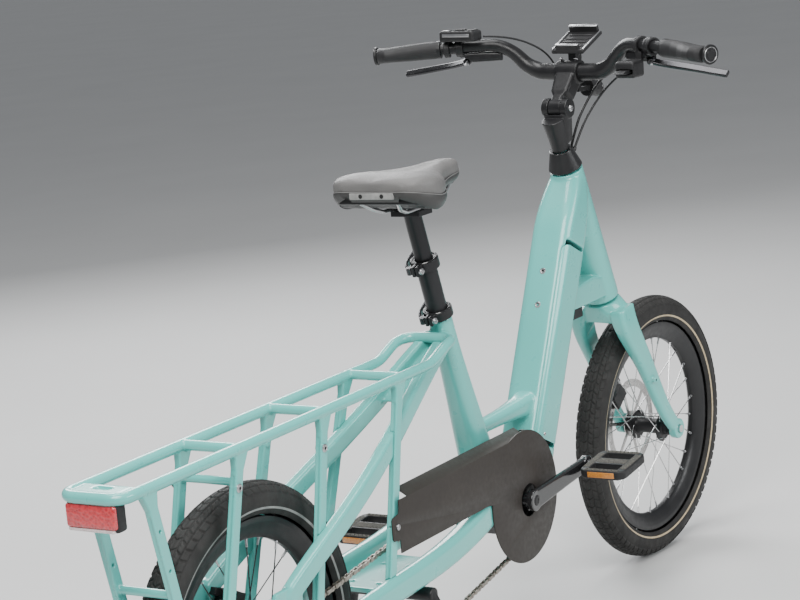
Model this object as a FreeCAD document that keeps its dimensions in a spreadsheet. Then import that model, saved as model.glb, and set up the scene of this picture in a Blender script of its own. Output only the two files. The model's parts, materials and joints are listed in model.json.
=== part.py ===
import FreeCAD
import Part
import Sketcher
import math
import os

# A cargo bicycle with a long rear rack, 20 inch wheels, a motor at the cranks and
# a battery in the down tube. X points forward, Y to the rider's left and Z up.
# Every sub-part is drawn from the rear axle's foot on the ground, then placed so
# that the origin lies under the middle of the bicycle.

DIMENSIONS = {
    "bike_shift": -668.0,          # rear axle, from the middle of the bicycle
    "wheel_radius": 262.0,
    "tyre_core": 233.0,            # axle to the middle of the tyre's section
    "tyre_section": 29.0,
    "tyre_inside": 25.4,
    "rim_edge": 209.6,
    "rim_half": 17.0,
    "rim_well": 176.0,
    "spoke_radius": 1.0,
    "spoke_count": 28,
    "hub_flange": 24.0,
    "wheelbase": 1386.4,
    "axle_radius": 7.5,
    "running_gap": 0.05,
    "rotor_thick": 1.8,
    "front_rotor": 90.0,
    "rear_rotor": 80.0,
    "head_angle": 68.5,            # degrees from the ground
    "head_x": 1115.0,              # top of the head tube
    "head_z": 825.0,
    "steer_rest": -3.83,           # the bars rest turned a little to the right
    "steerer_radius": 14.3,
    "steerer_length": 350.0,
    "bearing_radius": 22.0,
    "head_top_radius": 31.0,
    "head_low_radius": 35.0,
    "head_length": 284.0,
    "cone_top_radius": 21.0,
    "cone_height": 37.0,
    "seat_angle": 72.5,
    "seat_x": 622.0,               # top of the seat tube
    "seat_z": 645.0,
    "lower_post": 17.45,
    "upper_post": 15.0,
    "down_angle": 63.0,
    "down_x": 992.0,               # a point on the down tube's centre line
    "down_z": 551.0,
    "down_width": 80.0,
    "down_depth": 84.0,
    "cover_low": -216.0,           # battery opening, along the down tube
    "cover_high": 148.0,
    "cover_edge": -30.0,
    "rail_half": 50.0,             # rack rails, from the middle
    "rail_z": 593.0,
    "rail_radius": 9.0,
    "rack_rear": -310.0,
    "strut_lean": 15.5,            # degrees, the same as the seat tube
    "bracket_x": 752.0,            # crank axle
    "bracket_z": 293.0,
    "crank_length": 170.0,
    "crank_rise": 7.4,             # degrees above level at rest
    "chain_y": -50.0,
    "chain_pitch": 12.7,
    "ring_teeth": 42,
    "sprocket_teeth": 21,
    "jockey_teeth": 11,
    "guard_y": -73.0,
    "guard_thick": 2.0,
    "stem_x": 1099.0,              # pivot of the angle-adjustable stem
    "stem_z": 937.0,
    "bar_x": 1150.0,
    "bar_z": 998.0,
    "bar_clamp_radius": 15.9,
    "bar_radius": 11.1,
    "bar_half": 353.0,
    "grip_start": 237.0,
    "stand_x": 400.0,
    "stand_z": 235.0,
    "stand_tube": 12.0,
}

doc = FreeCAD.newDocument("cargo_bicycle")
sheet = doc.addObject("Spreadsheet::Sheet", "Dims")
for row, (alias, value) in enumerate(DIMENSIONS.items(), start=1):
    sheet.set("A%d" % row, alias)
    sheet.set("B%d" % row, str(value))
    sheet.setAlias("B%d" % row, alias)
doc.recompute()


def dim(alias):
    """The value of one driving dimension, read from the sheet."""
    return float(sheet.get(alias))


V = FreeCAD.Vector
UP = V(0, 0, 1)
LEFT = V(0, 1, 0)
BIKE = FreeCAD.Placement(V(dim("bike_shift"), 0, 0), FreeCAD.Rotation())
SUBPARTS = []


def direction(angle):
    """A unit vector in the bicycle's plane, by its angle from +X towards +Z."""
    return V(math.cos(math.radians(angle)), 0, math.sin(math.radians(angle)))


HEAD_TOP = V(dim("head_x"), 0, dim("head_z"))
HEAD_UP = direction(180 - dim("head_angle"))
HEAD_FORWARD = direction(90 - dim("head_angle"))
SEAT_TOP = V(dim("seat_x"), 0, dim("seat_z"))
SEAT_UP = direction(180 - dim("seat_angle"))
SEAT_BACK = direction(270 - dim("seat_angle"))
DOWN_MID = V(dim("down_x"), 0, dim("down_z"))
DOWN_UP = direction(dim("down_angle"))
DOWN_FORWARD = direction(dim("down_angle") - 90)
REAR_AXLE = V(0, 0, dim("wheel_radius"))
FRONT_AXLE = V(dim("wheelbase"), 0, dim("wheel_radius"))
CRANK_AXLE = V(dim("bracket_x"), 0, dim("bracket_z"))
STEM_PIVOT = V(dim("stem_x"), 0, dim("stem_z"))
BAR_MIDDLE = V(dim("bar_x"), 0, dim("bar_z"))

STEERED = BIKE * FreeCAD.Placement(
    V(0, 0, 0), FreeCAD.Rotation(HEAD_UP, dim("steer_rest")), HEAD_TOP)


def sub_part(obj, label, place=BIKE):
    """Name a finished object, move it to its place and list it for export."""
    obj.Label = label
    obj.Placement = place * obj.Placement
    SUBPARTS.append(obj)
    return obj


def drawn(label, shape, place=BIKE):
    """A sub-part whose shape is lofted or swept in space from the sheet's sizes."""
    obj = doc.addObject("Part::Feature", label)
    obj.Shape = shape.removeSplitter() if shape.Solids else shape
    return sub_part(obj, label, place)


# ---------------------------------------------------------------- primitives

def bind(obj, **formulas):
    for prop, formula in formulas.items():
        obj.setExpression(prop, formula)
    return obj


def cylinder(start, along, radius, height):
    obj = bind(doc.addObject("Part::Cylinder", "Cylinder"), Radius=radius, Height=height)
    obj.Placement = FreeCAD.Placement(start, FreeCAD.Rotation(UP, along))
    return obj


def cross_cylinder(centre, radius, half_width):
    """A cylinder along Y, centred on a point of the bicycle's plane."""
    obj = cylinder(V(centre), LEFT, radius, "2 * (%s)" % half_width)
    doc.recompute()
    obj.Placement.Base = V(centre) - LEFT * (obj.Height.Value / 2)
    return obj


def torus(centre, core, section):
    obj = bind(doc.addObject("Part::Torus", "Torus"), Radius1=core, Radius2=section)
    obj.Placement = FreeCAD.Placement(centre, FreeCAD.Rotation(UP, LEFT))
    return obj


def cut(base, tool):
    obj = doc.addObject("Part::Cut", "Cut")
    obj.Base, obj.Tool = base, tool
    return obj


def join(parts):
    obj = doc.addObject("Part::MultiFuse", "Fuse")
    obj.Shapes = parts
    return obj


def group(parts):
    obj = doc.addObject("Part::Compound", "Group")
    obj.Links = parts
    return obj


# ------------------------------------------------------------- drawn shapes

def bar(start, end, radius):
    return Part.makeCylinder(radius, (end - start).Length, start, end - start)


def block(low, high):
    return Part.makeBox(high.x - low.x, high.y - low.y, high.z - low.z, low)


def plate(outline, y_low, y_high):
    """A flat plate in the bicycle's plane: (x, z) corners, between two y values."""
    corners = [V(x, y_low, z) for x, z in outline]
    face = Part.Face(Part.makePolygon(corners + corners[:1]))
    return face.extrude(V(0, y_high - y_low, 0))


def largest(shape):
    """The biggest solid of a cut shape, without the slivers left beyond the cut."""
    return max(shape.Solids, key=lambda solid: solid.Volume)


def mirrored(shape):
    return shape.mirror(V(0, 0, 0), LEFT)


def both_sides(shape):
    return Part.makeCompound([shape, mirrored(shape)])


def ring_section(centre, across, up, width, height, corner):
    """A rounded rectangle wire, width along across and height along up."""
    across, up = V(across).normalize(), V(up).normalize()
    corner = min(corner, width / 2 - 0.2, height / 2 - 0.2)
    flat_a, flat_u = width / 2 - corner, height / 2 - corner
    edges = []
    for turn in range(4):
        a, u = ((1, 1), (-1, 1), (-1, -1), (1, -1))[turn]
        middle = centre + across * (a * flat_a) + up * (u * flat_u)
        first, last = ((across * a, up * u), (up * u, across * a))[turn % 2]
        diagonal = (first + last).normalize()
        edges.append(Part.Arc(middle + first * corner, middle + diagonal * corner,
                              middle + last * corner).toShape())
        a, u = ((-1, 1), (-1, -1), (1, -1), (1, 1))[turn]
        following = centre + across * (a * flat_a) + up * (u * flat_u) + last * corner
        edges.append(Part.LineSegment(middle + last * corner, following).toShape())
    return Part.Wire(edges)


def loft(sections, ruled=False):
    return Part.makeLoft(sections, True, ruled)


def tangents(points):
    """The direction of travel at each point of a route."""
    found = []
    for i in range(len(points)):
        before, after = points[max(i - 1, 0)], points[min(i + 1, len(points) - 1)]
        found.append((after - before).normalize())
    return found


def beam(points, sizes, corner, across=LEFT, ruled=False):
    """A box beam through points; sizes are (width, height), one or one per point."""
    sizes = sizes if isinstance(sizes, list) else [sizes] * len(points)
    sections = []
    for point, along, (width, height) in zip(points, tangents(points), sizes):
        side = (across - along * across.dot(along)).normalize()
        sections.append(ring_section(point, side, side.cross(along), width, height, corner))
    return loft(sections, ruled)


def tapered_tube(points, radii):
    """A round tube through points with a radius at each, its seam kept on top."""
    rings = []
    for point, along, radius in zip(points, tangents(points), radii):
        side = along.cross(UP).normalize()
        top = side.cross(along)
        arcs = [Part.Arc(point + top * radius, point + side * radius, point - top * radius),
                Part.Arc(point - top * radius, point - side * radius, point + top * radius)]
        rings.append(Part.Wire([arc.toShape() for arc in arcs]))
    return loft(rings, True)


def rounded_path(points, radii, closed=False):
    """Straight runs joined by tangent arcs; radii is one radius, or one for each point."""
    count = len(points)
    radii = radii if isinstance(radii, list) else [radii] * count
    inner = range(count) if closed else range(1, count - 1)
    edges, last = [], None if closed else points[0]
    joints = []
    for i in inner:
        corner, before, after = points[i], points[i - 1], points[(i + 1) % count]
        radius = radii[i]
        back, ahead = (before - corner).normalize(), (after - corner).normalize()
        half = back.getAngle(ahead) / 2
        reach = radius / math.tan(half)
        middle = corner + (back + ahead).normalize() * (radius / math.sin(half) - radius)
        joints.append((corner + back * reach, middle, corner + ahead * reach))
    if closed:
        last = joints[-1][2]
    for start, middle, end in joints:
        edges.append(Part.LineSegment(last, start).toShape())
        edges.append(Part.Arc(start, middle, end).toShape())
        last = end
    if not closed:
        edges.append(Part.LineSegment(last, points[-1]).toShape())
    return Part.Wire(edges)


def cord_path(points):
    """A hose's route: each arc is as large as the runs on both sides of it allow."""
    edges, radii, last = [], [], points[0]
    for before, corner, after in zip(points, points[1:], points[2:]):
        back, ahead = before - corner, after - corner
        reach = 0.45 * min(back.Length, ahead.Length)
        back.normalize()
        ahead.normalize()
        half = back.getAngle(ahead) / 2
        radius = reach * math.tan(half)
        radii.append(radius)
        middle = corner + (back + ahead).normalize() * (radius / math.sin(half) - radius)
        edges.append(Part.LineSegment(last, corner + back * reach).toShape())
        last = corner + ahead * reach
        edges.append(Part.Arc(corner + back * reach, middle, last).toShape())
    edges.append(Part.LineSegment(last, points[-1]).toShape())
    print("hose radii in mm:", " ".join("%.0f" % radius for radius in radii))
    return Part.Wire(edges)


def swept(path, radius):
    """A round tube along a path."""
    first = path.OrderedEdges[0]
    start = first.valueAt(first.FirstParameter)
    along = first.tangentAt(first.FirstParameter)
    circle = Part.Wire(Part.makeCircle(radius, start, along))
    return path.makePipeShell([circle], True, True)


def on_down_tube(s, across, forward):
    """A point by its distance along, to the left of and in front of the down tube."""
    return DOWN_MID + DOWN_UP * s + LEFT * across + DOWN_FORWARD * forward


def down_box(s_low, s_high, y_low, y_high, n_low, n_high):
    corners = [on_down_tube(s_low, y, n) for y, n in
               ((y_low, n_low), (y_high, n_low), (y_high, n_high), (y_low, n_high))]
    face = Part.Face(Part.makePolygon(corners + corners[:1]))
    return face.extrude(DOWN_UP * (s_high - s_low))


def cover_box(margin, radius):
    """The battery opening's space, its two corners on the tube's back rounded."""
    low, high = dim("cover_low") + margin, dim("cover_high") - margin
    edge = dim("cover_edge") - margin
    space = down_box(low, high, -80, edge, -80, 80)
    ends = [on_down_tube(s, edge, 0) for s in (low, high)]
    corners = [e for e in space.Edges if e.Length > 150 and
               min(e.distToShape(Part.Vertex(end))[0] for end in ends) < 0.01]
    return space.makeFillet(radius, corners)


# ---------------------------------------------------------------- the wheels

def tyre(label, axle, place):
    core = torus(axle, "Dims.tyre_core", "Dims.tyre_section")
    inside = join([torus(axle, "Dims.tyre_core", "Dims.tyre_inside"),
                   cross_cylinder(axle, "Dims.rim_edge + 0.3", "Dims.tyre_section + 5")])
    return sub_part(cut(core, inside), label, place)


def rim(label, axle, place):
    """A deep rim, turned from its section about the axle."""
    edge, half, well = dim("rim_edge"), dim("rim_half"), dim("rim_well")
    side = [(edge, half - 4.5), (edge, half), (edge - 9, half), (well + 4, 9), (well, 6)]
    bed = [(203, 12.5), (200, 4)]
    outline = side + [(r, -y) for r, y in reversed(side)]
    outline += [(r, -y) for r, y in bed] + [(r, y) for r, y in reversed(bed)]
    body = doc.addObject("PartDesign::Body", label + "_body")
    sketch = plane_sketch(body, "XY_Plane", outline)
    turn = body.newObject("PartDesign::Revolution", label + "_turn")
    turn.Profile = sketch
    turn.ReferenceAxis = (sketch, ["V_Axis"])
    turn.Angle = 360.0
    sketch.addConstraint(sketch_distance(0, edge))
    sketch.setExpression("Constraints[%d]" % (sketch.ConstraintCount - 1), "Dims.rim_edge")
    body.Placement = FreeCAD.Placement(axle, FreeCAD.Rotation())
    return sub_part(body, label, place)


def spokes(label, axle, place, half_left, half_right):
    """Crossed spokes: each leaves its flange nearly at a tangent."""
    count, flange, well = int(dim("spoke_count")), dim("hub_flange"), dim("rim_well") + 1.0
    made = []
    for i in range(count):
        side = 1 if i % 2 else -1
        leading = (i // 2) % 2
        lean = math.radians(52 if leading else -52)
        half = half_left if side > 0 else half_right
        at_rim = 2 * math.pi * (i + 0.5) / count
        at_hub = at_rim + lean
        inner = V(flange * math.cos(at_hub), side * (half + (3.2 if leading else -3.2)),
                  flange * math.sin(at_hub))
        outer = V(well * math.cos(at_rim), side * 2.5, well * math.sin(at_rim))
        made.append(bar(axle + inner, axle + outer, dim("spoke_radius")))
    return drawn(label, Part.makeCompound(made), place)


def rotor(axle, y_inner, radius, hub_end):
    """A brake disc: a slotted ring on six arms, and its fixing ring on the hub."""
    thick = dim("rotor_thick")

    def disc(outer, inner, low, width):
        centre = axle + LEFT * low
        return Part.makeCylinder(outer, width, centre, LEFT).cut(
            Part.makeCylinder(inner, width, centre, LEFT))

    ring = disc(radius, radius - 15, y_inner, thick)
    slots = []
    for i in range(24):
        angle = 15.0 * i
        middle = axle + LEFT * (y_inner - 1) + rotated(V(radius - 8 + 4 * (i % 2), 0, 0), angle)
        slots.append(Part.makeCylinder(2.2, thick + 2, middle, LEFT))
    shape = ring.cut(Part.makeCompound(slots))
    shape = shape.fuse(disc(26, hub_end, y_inner, thick))
    for i in range(6):
        arm = Part.makeBox(radius - 34, thick, 7, V(23, y_inner, -3.5))
        arm.rotate(V(0, 0, 0), LEFT, 60.0 * i + 12)
        arm.translate(axle)
        shape = shape.fuse(arm)
    return shape


def rotated(vector, angle):
    """A vector turned about Y by degrees."""
    return FreeCAD.Rotation(LEFT, angle).multVec(vector)


def hub(label, axle, place, half_left, half_right, disc_y, disc_radius, end_left, end_right):
    """A hub shell with two spoke flanges, turned about the axle, and its brake disc."""
    flange, bore = dim("hub_flange") + 5, dim("axle_radius") + dim("running_gap")
    shell = Part.makeCylinder(15, end_left + end_right, axle - LEFT * end_right, LEFT)
    for y in (half_left - 1.5, -half_right - 1.5):
        shell = shell.fuse(Part.makeCylinder(flange, 3, axle + LEFT * y, LEFT))
    shell = shell.cut(Part.makeCylinder(bore, 300, axle - LEFT * 150, LEFT))
    disc = rotor(axle, disc_y, disc_radius, 15)
    return drawn(label, Part.makeCompound([shell, disc]), place)


def axle_pin(label, axle, place, half_width):
    pin = cross_cylinder(axle, "Dims.axle_radius", half_width)
    return sub_part(pin, label, place)


def plane_sketch(body, role, outline):
    """A closed outline of straight lines on one of a body's own planes."""
    sketch = body.newObject("Sketcher::SketchObject", "Outline")
    plane = next(f for f in body.Origin.OriginFeatures if f.Role == role)
    sketch.AttachmentSupport = [(plane, "")]
    sketch.MapMode = "FlatFace"
    count = len(outline)
    for i in range(count):
        (x1, y1), (x2, y2) = outline[i], outline[(i + 1) % count]
        sketch.addGeometry(Part.LineSegment(V(x1, y1, 0), V(x2, y2, 0)))
    for i in range(count):
        sketch.addConstraint(Sketcher.Constraint("Coincident", i, 2, (i + 1) % count, 1))
    return sketch


def sketch_distance(line, value):
    """How far the first end of a line stands from the sketch's origin, along x."""
    return Sketcher.Constraint("DistanceX", line, 1, value)


def padded_body(label, role, outline, thickness):
    """A PartDesign plate: an outline padded to a thickness given as a sheet formula."""
    body = doc.addObject("PartDesign::Body", label + "_body")
    sketch = plane_sketch(body, role, outline)
    pad = body.newObject("PartDesign::Pad", label + "_pad")
    pad.Profile = sketch
    bind(pad, Length=thickness)
    doc.recompute()
    return body


# ---------------------------------------------------------------- the frame

def head_tube():
    """A tapered tube with a gusset back to the down tube, open above the gusset."""
    low = HEAD_TOP - HEAD_UP * dim("head_length")
    tube = Part.makeCone(dim("head_low_radius"), dim("head_top_radius"),
                         dim("head_length") - 4, low, HEAD_UP)
    gusset = plate([(1046, 566), (1063, 606), (1150, 612), (1198, 600), (1212, 566)], -27, 27)
    ridge = plate([(1078, 765), (1124, 800), (1150, 740), (1140, 690), (1112, 690)], -21, 21)
    bore = Part.makeCylinder(dim("bearing_radius"), 320, low - HEAD_UP * 15, HEAD_UP)
    return drawn("head_tube", largest(tube.fuse([gusset, ridge]).cut(down_tube_outer()).cut(bore)))


def down_tube_outer():
    """The down tube as a plain solid: straight, then narrowing into the head tube."""
    width, depth = dim("down_width"), dim("down_depth")

    def section(s, w, d, forward=0.0, corner=19):
        return ring_section(on_down_tube(s, 0, forward), LEFT, DOWN_FORWARD, w, d, corner)

    straight = loft([section(-296, width, depth), section(170, width, depth)], True)
    top = loft([section(170, width, depth), section(205, 78.5, 80, 1), section(240, 74, 71, 3),
                section(270, 66, 59, 3), section(296, 56, 44, 0)])
    return straight.fuse(top)


def down_tube():
    """A big box tube, opened on its right side for the battery."""
    low, high, depth = dim("cover_low"), dim("cover_high"), dim("down_depth")
    outer = down_tube_outer()
    cover_space = cover_box(0, 16)
    battery_space = down_box(low - 6, high + 7, -60, 29, -34, 34)
    tube = outer.cut(cover_space).cut(battery_space)
    steerer_room = Part.makeCylinder(dim("bearing_radius"), 330,
                                     HEAD_TOP - HEAD_UP * 300, HEAD_UP)
    tube = tube.cut(steerer_room)
    cover = outer.common(cover_box(0.6, 15.4))
    for s in (27.5, 91.5):
        tapped = on_down_tube(s, 0, -depth / 2 - 1)
        tube = tube.cut(Part.makeCylinder(2.5, 9.5, tapped, DOWN_FORWARD))
    drawn("down_tube", tube)
    drawn("battery_cover", cover)
    pack = ring_section(on_down_tube(low + 2, -1.6, 0), LEFT, DOWN_FORWARD, 57, 63, 6)
    pack = Part.Face(pack).extrude(DOWN_UP * (high - low - 5))
    drawn("battery_pack", pack)


def seat_tube_outer():
    """The seat tube as a plain solid: wide at the motor and round at the clamp."""
    def section(down, width, depth, corner):
        return ring_section(SEAT_TOP - SEAT_UP * down, LEFT, SEAT_UP.cross(LEFT),
                            width, depth, corner)

    return loft([section(0, 41, 41, 20), section(110, 44, 43, 19), section(220, 52, 50, 18),
                 section(318, 58, 56, 18)])


def seat_tube():
    """A tapered tube, bored for the post."""
    bore = Part.makeCylinder(dim("lower_post") + dim("running_gap"), 300,
                             SEAT_TOP - SEAT_UP * 285, SEAT_UP)
    return drawn("seat_tube", seat_tube_outer().cut(bore))


def stay_points():
    """The right diagonal stay's centre line, from the seat tube to the rear dropout."""
    return [V(613, -16, 611), V(550, -21, 584), V(380, -44, 504), V(193, -65, 428), V(6, -73, 352)]


def chainstay_points():
    return [V(650, -50, 306), V(560, -60, 291), V(450, -67, 279), V(327, -70, 274),
            V(160, -73, 268), V(22, -74, 263)]


def main_stays():
    """The two diagonal stays and the two chainstays as plain solids, right one first."""
    diagonal = beam(stay_points(), [(18, 30), (20, 32), (20, 32), (20, 32), (18, 30)], 5)
    chainstay = beam(chainstay_points(), [(34, 50), (32, 48), (28, 46), (26, 44), (24, 38),
                                          (20, 30)], 12)
    return [diagonal, mirrored(diagonal), chainstay, mirrored(chainstay)]


def stay_tubes():
    """Two chainstays, two diagonal stays and the short tube between seat and down tubes."""
    seat_outer = seat_tube_outer()
    diagonals = [stay.cut(seat_outer).cut(rack_tube()) for stay in main_stays()[:2]]
    chainstays = main_stays()[2:]
    yoke = block(V(640, -58, 286), V(658, 58, 326)).cut(chainstays[0]).cut(chainstays[1])
    tongue = block(V(658, -38, 290), V(689, 38, 322))
    gusset = plate([(455, 541), (520, 571), (600, 602), (600, 597), (520, 566), (455, 536)],
                   -24, 24)
    gusset = gusset.cut(diagonals[0]).cut(diagonals[1]).cut(seat_outer)
    short = beam([V(690, 0, 427), V(800, 0, 427), V(889, 0, 429)],
                 [(30, 30), (30, 30), (44, 42)], 14)
    short = short.cut(seat_outer).cut(down_tube_outer())
    pieces = chainstays + diagonals + [gusset, yoke, tongue, short]
    return drawn("stay_tubes", Part.makeCompound([largest(piece) for piece in pieces]))


def frame_plates():
    """Dropouts, the rails behind them, the stand plate and the motor's cradle."""
    outline = [(44, 246), (60, 280), (34, 372), (-22, 372), (-52, 318), (-44, 250), (-12, 234),
               (18, 234)]
    stays = main_stays()
    dropout = plate(outline, -80, -71)
    rail = rear_rail()
    axle_hole = Part.makeCylinder(dim("axle_radius"), 200, REAR_AXLE - LEFT * 100, LEFT)
    dropout = dropout.cut(axle_hole)
    stand_plate = block(V(300, -64, 264), V(470, 64, 272)).cut(stays[2]).cut(stays[3])
    for x, y in ((422, 25), (422, -25), (327, 25), (327, -25)):
        stand_plate = stand_plate.cut(Part.makeCylinder(4.25, 20, V(x, y, 260)))
    x, z, tube = dim("stand_x"), dim("stand_z"), dim("stand_tube")
    bracket = block(V(x - 22, -17, z - 16), V(x + 22, 17, 264)).cut(
        Part.makeCylinder(tube + dim("running_gap"), 100, V(x, -50, z), LEFT))
    cradle = plate([(672, 352), (672, 338), (704, 322), (742, 356), (800, 350), (858, 300),
                    (905, 282), (925, 312), (880, 352), (800, 376), (742, 384), (716, 372)],
                   -31, 31)
    cradle = cradle.cut(seat_tube_outer()).cut(down_tube_outer())
    pieces = [dropout, mirrored(dropout), rail, mirrored(rail), stand_plate, bracket, cradle]
    return drawn("frame_plates", Part.makeCompound([largest(piece) for piece in pieces]))


def rear_rail():
    """The right lower rail from the dropout back to the rearmost strut's foot."""
    rail = swept(rounded_path([V(-20, -74, 300), V(-70, -66, 299), V(-120, -51, 298),
                               V(-212, -50, 298)], 40), 9)
    return rail.cut(block(V(-51.5, -100, 270), V(0, -40, 330)))


def rack_tube():
    """The rack's closed tube: straight rails, raised where they meet ahead of the seat tube."""
    half, z, rear = dim("rail_half"), dim("rail_z"), dim("rack_rear")
    right = [V(500, -half, z), V(552, -half, z + 20), V(586, -half + 4, z + 24)]
    left = [V(p.x, -p.y, p.z) for p in reversed(right)]
    points = [V(rear, -half, z)] + right + left + [V(rear, half, z)]
    corners = [22, 90, 70, 24, 24, 70, 90, 22]
    return swept(rounded_path(points, corners, closed=True), dim("rail_radius"))


def rack_loop():
    """The rack's closed tube with the flat plate across its rear."""
    z, rear = dim("rail_z"), dim("rack_rear")
    rear_plate = block(V(rear - 6, -44, z - 6), V(rear + 46, 44, z + 7))
    rear_plate = rear_plate.makeFillet(5, rear_plate.Edges)
    slot = block(V(rear + 22, -14, z + 3), V(rear + 34, 14, z + 20))
    return drawn("rack_loop", rack_tube().fuse(rear_plate).cut(slot))


def strut(top, foot, head):
    """A rack strut: a small box extrusion, flared at its head and grooved behind."""
    along = (top - foot).normalize()
    side = (LEFT - along * LEFT.dot(along)).normalize()
    front = side.cross(along)
    size = 12.0, 19.0
    body = loft([ring_section(p, side, front, size[0], size[1], 2.5) for p in (foot, top)], True)
    flare = loft([ring_section(top - along * 26, side, front, size[0], size[1], 2.5),
                  ring_section(top, side, front, size[0] + 1, head, 2.5)], True)
    groove = loft([ring_section(p - front * (size[1] / 2), side, front, 6, 4, 1.8)
                   for p in (foot - along * 5, top - along * 34)], True)
    return body.fuse(flare).cut(groove)


GUARD_SCREW = V(322, 0, 371)


def rack_struts():
    """Four struts a side, the cross tubes between them and the bosses on them."""
    half, z = dim("rail_half"), dim("rail_z") - 4
    lean = math.tan(math.radians(dim("strut_lean")))

    def leaning(top_x, foot_z, foot_y):
        foot_x = top_x - lean * (z - foot_z)
        return strut(V(top_x, -half, z), V(foot_x, -foot_y, foot_z), 32)

    first = strut(V(-252, -half, z), V(-190, -half, 302), 34)
    fourth = strut(V(396, -half, z), V(298, -66, 282), 32)
    fourth = fourth.cut(bar(GUARD_SCREW - LEFT * 80, GUARD_SCREW - LEFT * 57, 2.95))
    side = [first, leaning(-40, 302, half), leaning(178, 284, 64), fourth]
    bosses = [bar(V(-57, -half - 9, 540), V(-57, -half + 6, 540), 5),
              bar(V(163, -half - 10, 541), V(163, -half + 6, 541), 5)]
    holes = [bar(V(-57, -half - 12, 540), V(-57, -half + 1, 540), 2.5),
             bar(V(163, -half - 12, 541), V(163, -half + 1, 541), 2.5),
             bar(V(-240, -80, 530), V(-240, -20, 530), 2.75),
             bar(V(-227, -80, 470), V(-227, -20, 470), 2.75)]
    joined = Part.makeCompound(holes + [rack_tube(), rear_rail()] + main_stays()[::2])
    right = [largest(piece.fuse([boss for boss in bosses if boss.common(piece).Volume > 1]).cut(
        joined)) for piece in side]
    struts = right + [mirrored(piece) for piece in right]
    among = Part.makeCompound(struts + [rack_tube()])
    bars = [largest(bar(V(x, -half, h), V(x, half, h), r).cut(among))
            for x, h, r in ((408, z + 4, 8), (180, z + 4, 8), (-39, z + 4, 8), (-53, 548, 6.5),
                            (-216, 431, 6.5))]
    return drawn("rack_struts", Part.makeCompound(struts + bars))


def seat_clamp():
    """The collar at the top of the seat tube, split behind and drawn in by a lever."""
    base = SEAT_TOP + SEAT_UP
    ring = bar(base, base + SEAT_UP * 16, 25).cut(
        bar(base - SEAT_UP, base + SEAT_UP * 17, dim("lower_post") + 0.4))
    ears = ear_block(base, 16)
    slit = ear_block(base - SEAT_UP, 18, width=2.0, reach=44)
    return drawn("seat_clamp", ring.fuse(ears).cut(slit))


def ear_block(base, height, width=14.0, reach=36.0):
    """A block behind a clamp ring: from 19 mm behind the middle outwards."""
    corners = [base + SEAT_BACK * b + LEFT * y for b, y in
               ((19, -width / 2), (reach, -width / 2), (reach, width / 2), (19, width / 2))]
    return Part.Face(Part.makePolygon(corners + corners[:1])).extrude(SEAT_UP * height)


def rear_light():
    shell = block(V(-316, -45, 546), V(-290, 45, 586.5))
    return drawn("rear_light", shell.makeFillet(6, shell.Edges))


def headset_bearings():
    """Two bearing rings between the head tube and the steerer."""
    rings = []
    for down in (14.0, dim("head_length") - 10.0):
        base = HEAD_TOP - HEAD_UP * down
        outer = cylinder(base, HEAD_UP, "Dims.bearing_radius", "9")
        inner = cylinder(base - HEAD_UP, HEAD_UP, "Dims.steerer_radius + Dims.running_gap", "12")
        rings.append(cut(outer, inner))
    return sub_part(group(rings), "headset_bearings")


def steering_stop():
    """A rubber block on the down tube that the fork's crown meets at full lock."""
    shape = block(V(1052, -20, 545), V(1104, 20, 565.5))
    shape = shape.cut(down_box(-200, 200, -60, 60, -60, dim("down_depth") / 2 + 0.3))
    return drawn("steering_stop", shape)


def drive_unit():
    """The motor: a cast body with a round cover on the left, bored for the crank axle."""
    low = plate([(690, 318), (704, 262), (742, 228), (800, 226), (862, 246), (880, 278),
                 (856, 297), (800, 345), (746, 352), (716, 318)], -38, 50)
    low = low.fuse([Part.makeCylinder(46, 96, CRANK_AXLE - LEFT * 44, LEFT),
                    Part.makeCylinder(62, 8, CRANK_AXLE + LEFT * 47, LEFT)])
    bore = Part.makeCylinder(12 + dim("running_gap"), 160, CRANK_AXLE - LEFT * 80, LEFT)
    low = low.cut(bore).cut(down_tube_outer()).cut(block(V(630, -60, 280), V(689.5, 60, 330)))
    return drawn("drive_unit", largest(low))


def chain_guard():
    """A long flat cover with a sloping top flange and a round front over the chainring."""
    y, thick = dim("guard_y"), dim("guard_thick")
    arm = padded_body("guard_arm", "XZ_Plane", [
        (329, 326), (329, 348), (311, 350), (308, 354), (308, 384), (311, 388), (329, 390),
        (332, 398), (332, 412), (753, 410), (753, 296), (611, 322)], "Dims.guard_thick")
    arm.Placement = FreeCAD.Placement(V(0, y + thick, 0), FreeCAD.Rotation())
    doc.recompute()
    middle = V(739, 0, 303)
    disc = Part.makeCylinder(116, thick, middle + LEFT * y, LEFT)
    face = arm.Shape.fuse(disc)
    flange = Part.makeLoft([
        Part.makePolygon([V(x, y, z), V(x, y + 22, z + 12), V(x, y + 22, z + 10),
                          V(x, y, z - 2.5), V(x, y, z)])
        for x, z in ((360, 411.9), (753, 410))], True, True)
    rim_ring = Part.makeCylinder(116, 12, middle + LEFT * y, LEFT).cut(
        Part.makeCylinder(113.8, 12, middle + LEFT * y, LEFT))
    above = block(V(570, y - 1, 400), V(753, y + 30, 440))
    behind = block(V(570, y - 1, 150), V(711, y + 30, 460))
    rim_ring = rim_ring.cut(behind).cut(above)
    window = Part.makeCylinder(29, 20, CRANK_AXLE + LEFT * (y - 5), LEFT)
    shape = face.fuse([flange, rim_ring]).cut(window)
    shape = shape.cut(Part.makeCylinder(3, 10, V(GUARD_SCREW.x, y - 3, GUARD_SCREW.z), LEFT))
    return drawn("chain_guard", shape)


def guard_screws():
    """The guard's rear screw, through its tab into the strut."""
    start = GUARD_SCREW + LEFT * (dim("guard_y") - 2.5)
    return drawn("guard_screws", bar(start, GUARD_SCREW - LEFT * 57, 2.9).fuse(
        bar(start, start + LEFT * 2.45, 5)))


# ------------------------------------------------------------ the drivetrain

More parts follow.
